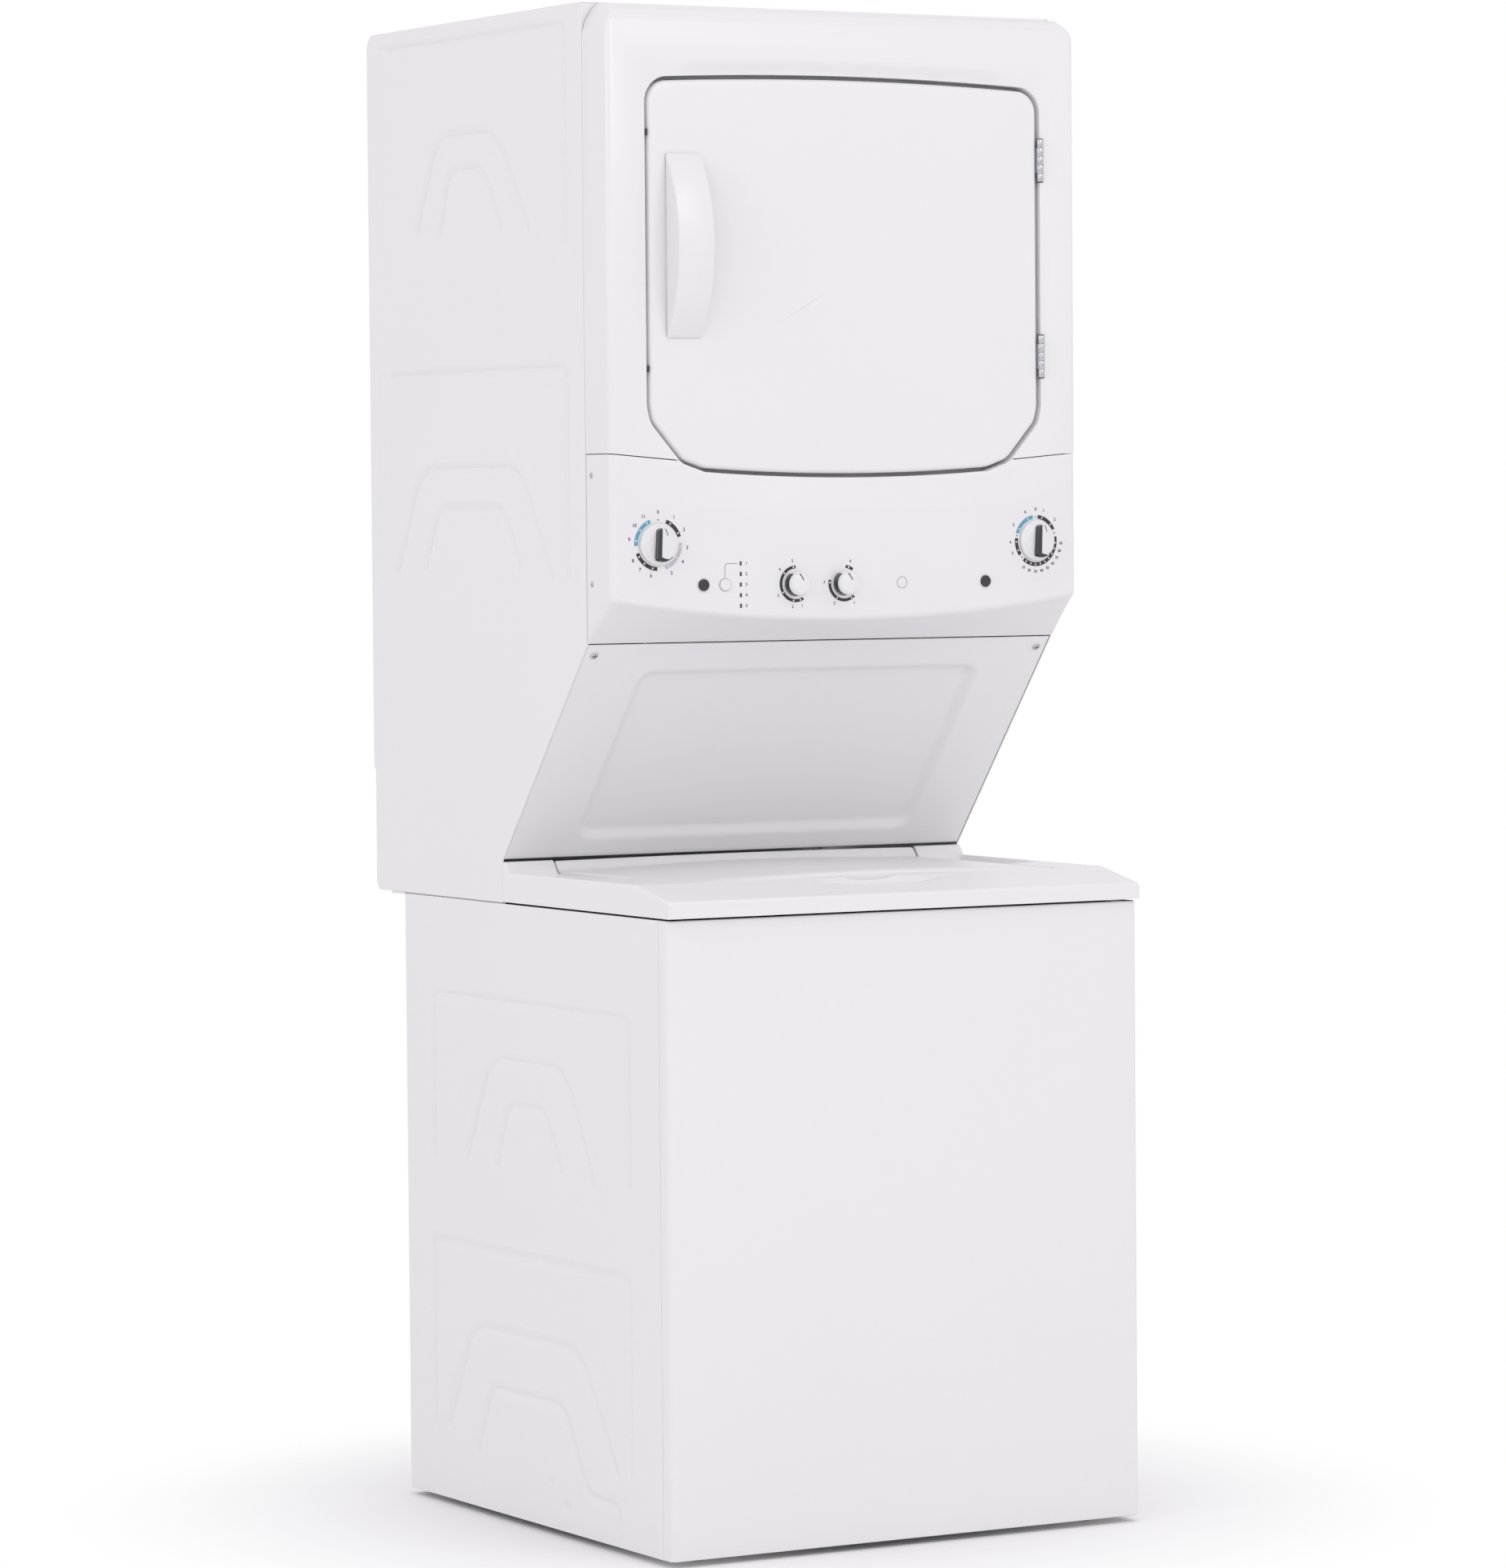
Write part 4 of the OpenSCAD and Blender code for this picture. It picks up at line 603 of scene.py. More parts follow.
def deck_height(x, y):
    """Top of the cover, without its round edges."""
    z = LIP_Z + (DECK_Z - LIP_Z) * np.clip((y + LIP) / (SLOPE_END + LIP), 0, 1)
    z = z + RISE_H * smooth((y - RISE_Y0) / (RISE_Y1 - RISE_Y0))
    across = smooth((np.abs(x) - POCKET + 1) / 6) * smooth((TROUGH_OUT - np.abs(x)) / 5)
    along = smooth((y - 195) / 110) * smooth((RISE_Y0 + 4 - y) / 8)
    z = z - TROUGH_D * across * along
    (mid_x, half_x), (mid_y, half_y) = SCOOP_X, SCOOP_Y
    scoop = np.clip(1 - ((x - mid_x) / half_x) ** 2 - ((y - mid_y) / half_y) ** 2, 0, 1)
    return z - SCOOP_D * scoop ** 0.5


def top_cover():
    """Moulded cover: sloping front with a scoop, lid pocket, troughs and the rise behind."""
    xs = np.concatenate([
        spread(-HALF_W, -TROUGH_OUT + 6, 1.2, 2.0), spread(-TROUGH_OUT + 6, -POCKET - 8, 5),
        spread(-POCKET - 8, -POCKET + 1.5, 1.0), [-POCKET + 2.2],
        spread(-POCKET + 8, -MOUTH_HALF, 10), spread(-MOUTH_HALF, MOUTH_HALF, 6),
    ])
    xs = np.unique(np.round(np.concatenate([xs, -xs]), 3))
    ys = np.unique(np.round(np.concatenate([
        spread(-LIP, 20, 2.2, COVER_R), spread(20, SLOPE_END - 3, 2.6),
        [SLOPE_END - 1.5, SLOPE_END - 0.8, SLOPE_END + 6], spread(MOUTH_Y0, MOUTH_Y1, 7),
        spread(MOUTH_Y1, RISE_Y0 - 4, 3), spread(RISE_Y0 - 4, 431.8, 1.2, 1.5),
    ]), 3))
    grid_x, grid_y = np.meshgrid(xs, ys)
    in_pocket = (np.abs(grid_x) < POCKET + 0.4) & (grid_y > SLOPE_END - 1.2)
    z = np.where(in_pocket, LIP_Z - 1, deck_height(grid_x, grid_y))
    z = z - edge_drop(HALF_W - np.abs(grid_x), COVER_R) - edge_drop(grid_y + LIP, COVER_R)
    bm = bmesh.new()
    verts = [[bm.verts.new(p) for p in row] for row in points_of(grid_x, grid_y, z)]
    for i, y in enumerate((ys[:-1] + ys[1:]) / 2):
        for j, x in enumerate(np.abs(xs[:-1] + xs[1:]) / 2):
            in_mouth = x < MOUTH_HALF and MOUTH_Y0 < y < MOUTH_Y1
            behind_lid = x < POCKET - 1 and y > RISE_Y0 - 4
            if not (in_mouth or behind_lid):
                bm.faces.new((verts[i][j], verts[i][j + 1], verts[i + 1][j + 1], verts[i + 1][j]))
    skirt = at(0, 0, CAB_TOP + 2.5).z

    def hang(ring):
        """Wall from a row of the cover's edge down to its bottom."""
        above = ring
        for level in (0.25, 1.0):
            below = [bm.verts.new((v.co.x, v.co.y, v.co.z + (skirt - v.co.z) * level)) for v in ring]
            for face in zip(above, above[1:], below[1:], below):
                bm.faces.new(face)
            above = below

    hang([row[0] for row in verts])
    hang([row[-1] for row in verts])
    hang(verts[0])
    obj = thickened(bm, "washer_cover", SKIN, Vector((0, 0, -1)), 38)
    piece(obj, "root", "white_enamel")
    bm = bmesh.new()
    low, half, front = CAB_TOP - 1.5, HALF_W - 3.5, LOWER_Y - 3.7
    add_box(bm, (-half, front, low), (half, REAR_DECK_Y[0] + 4, low + 3))
    add_box(bm, (-HALF_W, REAR_DECK_Y[0], low), (HALF_W, REAR_DECK_Y[1], low + 3))
    for side, _ in SIDES:
        add_side_box(bm, side, (POCKET + 1, half), (front, front + 2.5), (low + 1, CAB_TOP + 26))
    piece(finish_mesh(bm, "cover_rear_deck"), "root", "white_enamel", "washer_top_cover")


def lid_height(x, y):
    """Top of the lid: a crowned field between two arcs and a rise at the back."""
    u = np.clip(np.abs(x) / LID_HALF, 0, 1)
    ridge = SLOPE_END + 3 + 18 * u ** 2
    field = 6.6 * (1 - u ** 2) * smooth((y - ridge + 16) / 22)
    far = smooth((408 - 30 * u ** 2 - y) / 10)
    z = DECK_Z + field * (0.25 + 0.75 * far)
    return z + (RISE_H - 1.2) * smooth((y - RISE_Y0 + 1) / (RISE_Y1 - RISE_Y0 + 1))


def lid():
    """Crowned lid with a rolled rim."""
    bm = bmesh.new()
    front, back = SLOPE_END, LOWER_Y - 3.5
    xs = spread(-LID_HALF, LID_HALF, 7, COVER_R)
    ys = np.unique(np.concatenate([
        spread(front, RISE_Y0 - 4, 5, COVER_R), spread(RISE_Y0 - 4, back, 1.3, 1.5)]))
    rim = CAB_TOP + 25
    side_drop = edge_drop(LID_HALF - np.abs(xs), COVER_R)
    rows = []
    for y in ys:
        z = lid_height(xs, np.full_like(xs, y)) - side_drop - edge_drop(y - front, COVER_R)
        row = [at(x, y, h) for x, h in zip(xs, z)]
        rows.append([at(-LID_HALF, y, rim)] + row + [at(LID_HALF, y, rim)])
    rows.insert(0, [Vector((p.x, p.y, at(0, 0, rim).z)) for p in rows[0]])
    add_grid(bm, rows)
    obj = thickened(bm, "lid_top", SKIN, Vector((0, 0, -1)), 38)
    piece(obj, "lid", "white_enamel")
    bm = bmesh.new()
    add_box(bm, (-LID_HALF + 2.5, front + 4, rim - 1), (LID_HALF - 2.5, PIVOT_Y - 8, rim + 0.5))
    pin = [(PIVOT_Y + u, PIVOT_Z + v) for u, v in circle(PIVOT_R, 24)]
    for side, _ in SIDES:
        lug_y, lug_z = (PIVOT_Y - 7, PIVOT_Y + 6), (PIVOT_Z - 5, DECK_Z - 3)
        add_side_box(bm, side, (LID_HALF - 14, LID_HALF - 0.2), lug_y, lug_z)
        ends = sorted((side * (LID_HALF - 12), side * (LID_HALF + 11)))
        add_tube(bm, [[at(x, y, z) for y, z in pin] for x in ends])
    piece(finish_mesh(bm, "lid_lining"), "lid", "white_enamel", "washer_lid")


# ---------------------------------------------------------------- access panel
# The pressed recess: its left, right, upper and lower edge, its soft wall, depth and corners
RECESS_X, RECESS_U = (-251.0, 254.0), (44.0, 335.0)
RECESS_SOFT, RECESS_D, RECESS_R = 16.0, 8.0, 26.0


def access_panel():
    """Sloping panel with a broad pressed recess."""
    half, end = HALF_W - SHEET - 1, PANEL_L - 2
    (left, right), (top, low) = RECESS_X, RECESS_U
    xs = np.unique(np.concatenate([
        spread(-half, left - 12, 12, 2.0), spread(left - 12, left + 50, 2.6),
        spread(left + 50, right - 50, 14), spread(right - 50, right + 12, 2.6),
        spread(right + 12, half, 12, 2.0)]))
    us = np.unique(np.concatenate([
        spread(SEAM, top - 12, 8, 2.0), spread(top - 12, top + 46, 2.6), spread(top + 46, low - 46, 14),
        spread(low - 46, low + 8, 2.6), spread(low + 8, end, 6, 2.0)]))
    x, u = np.meshgrid(xs, us)
    dx = np.abs(x - (left + right) / 2) - ((right - left) / 2 - RECESS_R)
    du = np.abs(u - (top + low) / 2) - ((low - top) / 2 - RECESS_R)
    outside = np.hypot(np.maximum(dx, 0), np.maximum(du, 0)) + np.minimum(np.maximum(dx, du), 0)
    sink = RECESS_D * smooth((RECESS_R - outside) / RECESS_SOFT)
    edge = np.minimum(half - np.abs(x), np.minimum(u - SEAM, end - u))
    sink = sink + edge_drop(edge, 1.4)
    y = PANEL_TOP[0] + u * math.cos(PANEL_A) + sink * math.sin(PANEL_A)
    z = PANEL_TOP[1] - u * math.sin(PANEL_A) + sink * math.cos(PANEL_A)
    bm = bmesh.new()
    add_grid(bm, points_of(x, y, z))
    obj = thickened(bm, "sloping_panel", SHEET, Vector((0, math.sin(PANEL_A), math.cos(PANEL_A))), 40)
    piece(obj, "root", "white_enamel", "access_panel")


# ---------------------------------------------------------------- console
CREASE_Z = STACK_TOP - 629
CONSOLE_ROUND, CONSOLE_EDGE = 10.0, 9.0
TILT_H = 56.0
CONSOLE_INSET = 0.9      # its ends stand back a little, so that their screw heads stay inside

# The door's lower edge: a shallow sweep, then a turn up into its side
SWEEP_HALF, SWEEP_RISE = DOOR_HALF - 76, 7.5
TURN_X, TURN_RISE = (DOOR_HALF - 46, DOOR_HALF - 4), (18, 66)


def bow(x):
    """How far the console's face stands forward of the bezel at x."""
    return BOW_D - (BOW_R - np.sqrt(BOW_R ** 2 - np.asarray(x, float) ** 2))


def crease_z(x):
    """Height of the crease across the console's face."""
    return CREASE_Z + 12 * (x / HALF_W) ** 2


def console_y(x, z):
    """Front of the console at x and z, with its tilted upper band."""
    crease = crease_z(x)
    lean = np.clip((crease + TILT_H - z) / TILT_H, 0, 1)
    lean = lean - 0.04 * np.exp(-((z - crease) / 5) ** 2)
    return BEZEL_Y - bow(x) * lean + edge_drop(HALF_W - np.abs(x), CONSOLE_ROUND)


def console_low(x):
    """Lower edge of the console's face, which rises towards the sides."""
    return CONSOLE_Z + 51 - 26 * (1 - (x / HALF_W) ** 2)


def console_top(x):
    """Upper boundary of the console: the seam, or the gap under the door."""
    x = np.abs(x)
    seam = SEAM_Z - SEAM - 9 * np.clip((HALF_W - x) / 105, 0, 1)
    sweep_x = [0, *np.linspace(20, SWEEP_HALF, 10)]
    outline_z = [DOOR_Z0 + SWEEP_RISE * (v / SWEEP_HALF) ** 2 for v in sweep_x]
    outline_z += [DOOR_Z0 + rise for rise in TURN_RISE]
    door = np.interp(x, [*sweep_x, *TURN_X], outline_z, right=1e4)
    steep = np.interp(x, [0, SWEEP_HALF, TURN_X[0], TURN_X[0] + 6], [1, 1.04, 1.06, 1.5])
    return np.minimum(seam, door - DOOR_GAP * steep)


def console():
    """Bowed console with a crease, a rounded lower edge and a tucked-under return."""
    turns = np.array([SWEEP_HALF, TURN_X[0], TURN_X[0] + 1])
    xs = np.unique(np.concatenate([spread(-HALF_W, HALF_W, 7, CONSOLE_ROUND), -turns, turns]))
    top, low, crease = console_top(xs), console_low(xs), crease_z(xs)
    rows = [
        (np.full_like(xs, BEZEL_Y + 30), top),
        (console_y(xs, top) + 1.2, top),
        (console_y(xs, top - 0.5) + 0.3, top - 0.4),
    ]
    face = [top - 1.4 - t * (top - 1.4 - crease - 8) for t in np.linspace(0, 1, 9)]
    face += [crease + d for d in (6, 4, 2, 0, -2, -4, -7)]
    face += [crease - 7 - t * (crease - 7 - low - CONSOLE_EDGE) for t in np.linspace(0.04, 1, 12)]
    rows += [(console_y(xs, z), z) for z in face]
    for a in np.linspace(0.15, 1.15, 8):
        z = low + CONSOLE_EDGE * (1 - math.sin(a))
        rows.append((console_y(xs, z) + CONSOLE_EDGE * (1 - math.cos(a)), z))
    last_y, last_z = rows[-1]
    for t in (0.06, 0.3, 0.6, 1.0):
        rows.append((last_y + t * (SIDE_Y - SEAM - last_y), last_z + t * (CONSOLE_Z + SEAM - last_z)))
    inset = 1 - CONSOLE_INSET / HALF_W
    grid = [[at(x * inset, y, z) for x, y, z in zip(xs, *row)] for row in rows]
    bm = bmesh.new()
    add_grid(bm, grid)
    for i in (0, -1):
        ends = [row[i] for row in grid]
        add_grid(bm, [ends, [Vector((p.x, at(0, SIDE_Y - SEAM, 0).y, p.z)) for p in ends]])
    obj = thickened(bm, "console", SKIN, Vector((0, 1, 0)), 40)
    piece(obj, "root", "white_plastic", "console_panel")


def face_frame(x, z):
    """Origin, right, up and outward directions on the console's face at x and z."""
    slope = math.asin(x / BOW_R)
    right = Vector((math.cos(slope), math.sin(slope), 0))
    out = Vector((math.sin(slope), -math.cos(slope), 0))
    return at(x, float(console_y(x, z)), z), right, Vector((0, 0, 1)), out


def on_face(x, z, shape):
    """Moves points given as (right, up, out) millimetres onto the face at x and z."""
    origin, right, up, out = face_frame(x, z)
    return [origin + (right * p[0] + up * p[1] + out * p[2]) * MM for p in shape]


def ring_on_face(x, z, radius, height, steps):
    return on_face(x, z, [(u, v, height) for u, v in circle(radius, steps)])


def lathe(bm, x, z, profile, steps=64):
    """A turned solid on the face, from (radius, height) pairs."""
    add_tube(bm, [ring_on_face(x, z, radius, height, steps) for radius, height in profile])


def slab(bm, x, z, outline, low, high):
    """A closed plate on the face with a given outline; heights are numbers or functions."""
    heights = [h if callable(h) else (lambda u, v, h=h: h) for h in (low, high)]
    add_tube(bm, [on_face(x, z, [(u, v, h(u, v)) for u, v in outline]) for h in heights])


def grip_top(u, v):
    """Height of a cycle knob's grip, which falls away to the right."""
    return 19.2 - 7.5 * float(smooth((u + 2) / 20))


def cycle_knob(body, x):
    """Round skirt and cap with a raised half-round grip and its dark flank."""
    bm = bmesh.new()
    lathe(bm, x, KNOB_Z, [(25.4, 0.8), (26, 1.4), (26, 4.2), (25.2, 5.6), (22.6, 6.6), (22.0, 8.4),
                          (20.6, 9.8)])
    half_round = [(u, v) for u, v in arc(20.5, -1.12, 1.78, 30) if u > -4.2]
    slab(bm, x, KNOB_Z, [(-3.6, -15.5), (1.5, -17.4)] + half_round, 6.0, grip_top)
    knob = finish_mesh(bm, body + "_cap", 50)
    edge = knob.modifiers.new("edge", "BEVEL")
    edge.width, edge.segments, edge.angle_limit = 0.9 * MM, 3, math.radians(50)
    piece(baked(knob), body, "knob_plastic", body)
    bm = bmesh.new()
    slab(bm, x, KNOB_Z, [(-9.2, -18.0), (-4.0, -20.2), (-3.6, 20.0), (-7.0, 17.6)], 8.0, 18.6)
    under = arc(21.6, -2.0, -0.85, 14) + [(13.6, -15.4), (1.4, -16.9), (-3.8, -15.0)]
    slab(bm, x, KNOB_Z, under, 8.0, 12.6)
    pointer = [(1.0, 18.8), (2.2, 19.2), (6.4, 11.0), (5.5, 10.7)]
    slab(bm, x, KNOB_Z, pointer, 15.0, lambda u, v: grip_top(u, v) + 0.2)
    piece(finish_mesh(bm, body + "_flank", 40), body, "dark_button")


def selector_knob(body, x):
    """Small domed cap with a dark waist on its left and a pointer line."""
    bm = bmesh.new()
    lathe(bm, x, BUTTON_Z, [(14.9, 0.8), (15.5, 1.5), (15.3, 4.0), (14.4, 12.0), (13.9, 14.6), (12.6, 16.2),
                            (9.0, 16.9), (0.4, 17.0)])
    piece(finish_mesh(bm, body + "_cap", 50), body, "knob_plastic", body)
    bm = bmesh.new()
    waist = arc(15.9, 2.2, 4.5, 22) + [(u + 1.2, v) for u, v in arc(14.0, 4.5, 2.2, 22)]
    slab(bm, x, BUTTON_Z, waist, 1.0, 9.5)
    slab(bm, x, BUTTON_Z, [(-3.4, 12.4), (-2.4, 12.9), (3.0, 4.6), (2.2, 4.2)], 15.0, 17.35)
    piece(finish_mesh(bm, body + "_mark", 40), body, "dark_button")


def push_button(body, x, slot):
    """Slightly dished push button with a rounded rim."""
    bm = bmesh.new()
    profile = [(7.3, -4), (7.3, 1.6), (7.0, 2.4), (6.2, 2.75), (4.0, 2.5), (0.3, 2.3)]
    lathe(bm, x, BUTTON_Z, profile, 48)
    piece(finish_mesh(bm, body + "_cap", 60), body, slot, body)


# ---------------------------------------------------------------- printing on the console
# Rings round the cycle knobs and the selectors: outer radius and width
DIAL_R, DIAL_W = 32.8, 4.8
SMALL_R, SMALL_W = 23.0, 3.8
DIAL_MID, SMALL_MID = DIAL_R - DIAL_W / 2, SMALL_R - SMALL_W / 2

# Clock hours of the numbered marks: the washer's cycles, the dryer's minutes and its other
# cycles, the water's temperatures and the loads
WASHER_HOURS = (13.1, 14.1, 3.2, 4.1, 5.1, 6.5, 7.3, 8.0, 9.3, 10.2, 11.0)
MINUTE_HOURS = np.linspace(15.2, 19.0, 9)
DRYER_HOURS = (12.6, 13.6, 20.2, 20.9, 22.0, 23.2)
WARMTH_HOURS = (5.4, 6.3, 8, 10.3, 11.7)
LOAD_HOURS = (5.0, 7.0, 9.1, 12.6)
LENS_COUNT, LENS_STEP = 5, 13.2


def clock(hours):
    """Angle of a clock-face direction, anticlockwise from the right."""
    return math.radians(90 - 30 * hours)


def printed(bm, x, z, outline, proud=0.14):
    """A thin printed patch that follows the face; the outline is in millimetres."""
    add_tube(bm, [[at(x + u, float(console_y(x + u, z + v)) - height, z + v) for u, v in outline]
                  for height in (-0.1, proud)])


def band(bm, x, z, radius, width, start, end):
    """Part of a ring, between two hours, clockwise."""
    steps = max(3, round((end - start) * 5))
    hours = np.linspace(start, end, steps + 1)
    for h0, h1 in zip(hours, hours[1:]):
        a, b = clock(h0), clock(h1)
        ring = [(radius, a), (radius, b), (radius - width, b), (radius - width, a)]
        printed(bm, x, z, [(r * math.cos(t), r * math.sin(t)) for r, t in ring])


def stroke(bm, x, z, points, width):
    """A thin line through points."""
    for (u0, v0), (u1, v1) in zip(points, points[1:]):
        long = math.hypot(u1 - u0, v1 - v0)
        n = ((v0 - v1) / long * width / 2, (u1 - u0) / long * width / 2)
        printed(bm, x, z, [(u0 + n[0], v0 + n[1]), (u1 + n[0], v1 + n[1]),
                           (u1 - n[0], v1 - n[1]), (u0 - n[0], v0 - n[1])])


def dot_points(x, z, radius, hours):
    return [(x + radius * math.cos(clock(h)), z + radius * math.sin(clock(h))) for h in hours]


def repeat_tree():
    """Geometry Nodes: one shape set on every point, turned with the face."""
    tree = bpy.data.node_groups.new("repeat on face", "GeometryNodeTree")
    for name, kind in (("Points", "NodeSocketGeometry"), ("Shape", "NodeSocketObject"),
                       ("Finish", "NodeSocketMaterial")):
        tree.interface.new_socket(name, in_out="INPUT", socket_type=kind)
    tree.interface.new_socket("Result", in_out="OUTPUT", socket_type="NodeSocketGeometry")
    kinds = ("NodeGroupInput", "GeometryNodeObjectInfo", "GeometryNodeInputNamedAttribute",
             "GeometryNodeInstanceOnPoints", "GeometryNodeRealizeInstances", "GeometryNodeSetMaterial",
             "NodeGroupOutput")
    source, shape, turn, place, real, finish, out = (tree.nodes.new(kind) for kind in kinds)
    turn.data_type = "FLOAT_VECTOR"
    turn.inputs["Name"].default_value = "turn"
    tree.links.new(source.outputs["Shape"], shape.inputs["Object"])
    tree.links.new(source.outputs["Points"], place.inputs["Points"])
    tree.links.new(shape.outputs["Geometry"], place.inputs["Instance"])
    tree.links.new(turn.outputs["Attribute"], place.inputs["Rotation"])
    tree.links.new(place.outputs["Instances"], real.inputs["Geometry"])
    tree.links.new(real.outputs["Geometry"], finish.inputs["Geometry"])
    tree.links.new(source.outputs["Finish"], finish.inputs["Material"])
    tree.links.new(finish.outputs["Geometry"], out.inputs["Result"])
    return tree


REPEAT = repeat_tree()


def repeated(name, shape, points, turns, material):
    """A shape object repeated at points, each with its own turn, as one mesh."""
    mesh = bpy.data.meshes.new(name + "_points")
    mesh.from_pydata([tuple(p) for p in points], [], [])
    turn = mesh.attributes.new("turn", "FLOAT_VECTOR", "POINT")
    turn.data.foreach_set("vector", [c for t in turns for c in t])
    obj = bpy.data.objects.new(name, mesh)
    bpy.context.scene.collection.objects.link(obj)
    nodes = obj.modifiers.new("repeat", "NODES")
    nodes.node_group = REPEAT
    inputs = {s.name: s.identifier for s in REPEAT.interface.items_tree if s.in_out == "INPUT"}
    nodes[inputs["Shape"]] = shape
    nodes[inputs["Finish"]] = material
    baked(obj)
    bpy.data.objects.remove(shape)
    return obj


def dots(name, places, radius, ink):
    """Small printed dots, all alike."""
    bm = bmesh.new()
    add_tube(bm, [[(u * MM, -h * MM, v * MM) for u, v in circle(radius, 14)] for h in (-0.1, 0.2)])
    shape = finish_mesh(bm, name + "_dot")
    points = [at(x, float(console_y(x, z)), z) for x, z in places]
    turns = [(0, 0, math.asin(x / BOW_R)) for x, z in places]
    piece(repeated(name, shape, points, turns, INK[ink]), "root", "white_plastic", material=INK[ink])


def figures(entries):
    """Plain numbers beside the dials, printed on the face."""
    bm = bmesh.new()
    for text, x, z, size in entries:
        data = bpy.data.curves.new("figure", "FONT")
        data.body, data.size = text, size * MM
        data.align_x, data.align_y = "CENTER", "CENTER"
        data.extrude, data.resolution_u = 0.1 * MM, 3
        data.offset = 0.06 * MM
        obj = bpy.data.objects.new("figure", data)
        bpy.context.scene.collection.objects.link(obj)
        mesh = bpy.data.meshes.new_from_object(obj.evaluated_get(bpy.context.evaluated_depsgraph_get()))
        origin, right, up, out = face_frame(x, z)
        for v in mesh.vertices:
            v.co = origin + right * v.co.x + up * v.co.y + out * (v.co.z + 0.06 * MM)
        bm.from_mesh(mesh)
        bpy.data.objects.remove(obj)
    piece(finish_mesh(bm, "console_figures", outward=False), "root", "white_plastic", material=INK["dark"])


def printing():
    """Dial rings, dots, the rinse line and the numbers."""
    left, right = (-CYCLE_X, KNOB_Z), (CYCLE_X, KNOB_Z)
    warmth, load = ((x, BUTTON_Z) for x in SELECTOR_X)
    marks = {                # ink: place, and the hours between which its rings run
        "dark": [(left, 6.1, 8.3), (left, 12.7, 14.4), (right, 12.2, 14.1), (right, 14.7, 19.3),
                 (right, 19.8, 21.2), (warmth, 5.0, 12.0), (load, 12.2, 13.2), (load, 4.6, 9.4)],
        "blue": [(left, 8.9, 11.3), (right, 21.6, 23.7)],
        "grey": [(left, 2.9, 5.4)],
    }
    for ink, rings in marks.items():
        bm = bmesh.new()
        for place, start, end in rings:
            size = (DIAL_R, DIAL_W) if place[1] == KNOB_Z else (SMALL_R, SMALL_W)
            band(bm, *place, *size, start, end)
        if ink == "dark":
            stroke(bm, RINSE_X, BUTTON_Z, [(0, 9.0), (0, 23.5), (2.6, 26.2), (17.5, 26.2)], 0.45)
        piece(finish_mesh(bm, "ring_" + ink), "root", "white_plastic", material=INK[ink])

    dials = [                # place, radius of dots and numbers, their size, hours, first number, step
        (left, DIAL_MID, 40.0, 6.2, WASHER_HOURS, 1, 1),
        (right, DIAL_MID, 39.6, 5.0, MINUTE_HOURS, 90, -10),
        (right, DIAL_MID, 40.0, 5.8, DRYER_HOURS, 1, 1),
        (warmth, SMALL_MID, 29.0, 5.4, WARMTH_HOURS, 1, 1),
        (load, SMALL_MID, 29.0, 5.4, LOAD_HOURS, 1, 1),
    ]
    pale = []
    entries = [("0", x, z + 40, 6.2) for x, z in (left, right)]
    for place, ring, reach, size, hours, first, step in dials:
        pale += dot_points(*place, ring, hours)
        for k, spot in enumerate(dot_points(*place, reach, hours)):
            entries.append((str(first + step * k), *spot, size))
    for k in range(LENS_COUNT):
        entries.append((str(k + 1), LENS_X + 8, BUTTON_Z + (2 - k) * LENS_STEP, 5.4))
    dots("dial_dots_pale", pale, 1.15, "pale")
    off = dot_points(*left, DIAL_MID, [12]) + dot_points(*right, DIAL_MID, [12, 14.4, 19.55, 21.4])
    dots("dial_dots_dark", off, 0.9, "dark")
    figures(entries)


def trims():
    """Halos of the buttons, the blank badge and the plugs of the spare hinge holes."""
    halos = [                # name, place, inner and outer radius, ink
        ("washer_start_halo", START_X[0], 7.7, 9.6, "pale"),
        ("dryer_start_halo", START_X[1], 7.7, 9.6, "pale"),
        ("rinse_halo", RINSE_X, 7.7, 8.4, "grey"),
        ("blank_badge", BADGE_X, 6.6, 7.6, "grey"),
    ]
    for name, x, inner, outer, ink in halos:
        section = ((inner, -0.3), (inner, 0.5), (outer - 0.3, 0.7), (outer, 0.4), (outer, -0.3))
        rows = [ring_on_face(x, BUTTON_Z, radius, height, 48) for radius, height in section]
        bm = bmesh.new()
        add_grid(bm, rows + [rows[0]], wrap=True)
        piece(finish_mesh(bm, name), "root", "white_plastic", material=INK[ink])
    bm = bmesh.new()
    for z in HINGE_PLUG_Z:
        add_box(bm, (-DOOR_HALF - 4.4, BEZEL_Y + 0.4, z - 4), (-DOOR_HALF - 1.0, BEZEL_Y + 5, z + 4))
    piece(finish_mesh(bm, "hinge_hole_plugs"), "root", "dark_plastic")


# ---------------------------------------------------------------- screws
def pan_head(radius, height):
    """A pan-head screw seen from outside, with a cross recess; +Z points out of it."""
    wide, long, steps = 0.13 * radius, 0.62 * radius, 56
    rows = [[(u, v, -0.4) for u, v in circle(radius, steps)]]
    for share in (1, 0.97, 0.88, 0.76, 0.64, 0.6, 0.5, 0.4, 0.3, 0.2, 0.16, 0.05):
        dome = height * math.sqrt(1 - 0.9 * share ** 4)
        row = []
        for u, v in circle(radius * share, steps):
            in_cross = min(abs(u), abs(v)) < wide and radius * share < long
            row.append((u, v, dome - 0.75 * height * in_cross))
        rows.append(row)
    bm = bmesh.new()
    add_tube(bm, [[tuple(c * MM for c in p) for p in row] for row in rows])
    return finish_mesh(bm, "pan_head", 40)


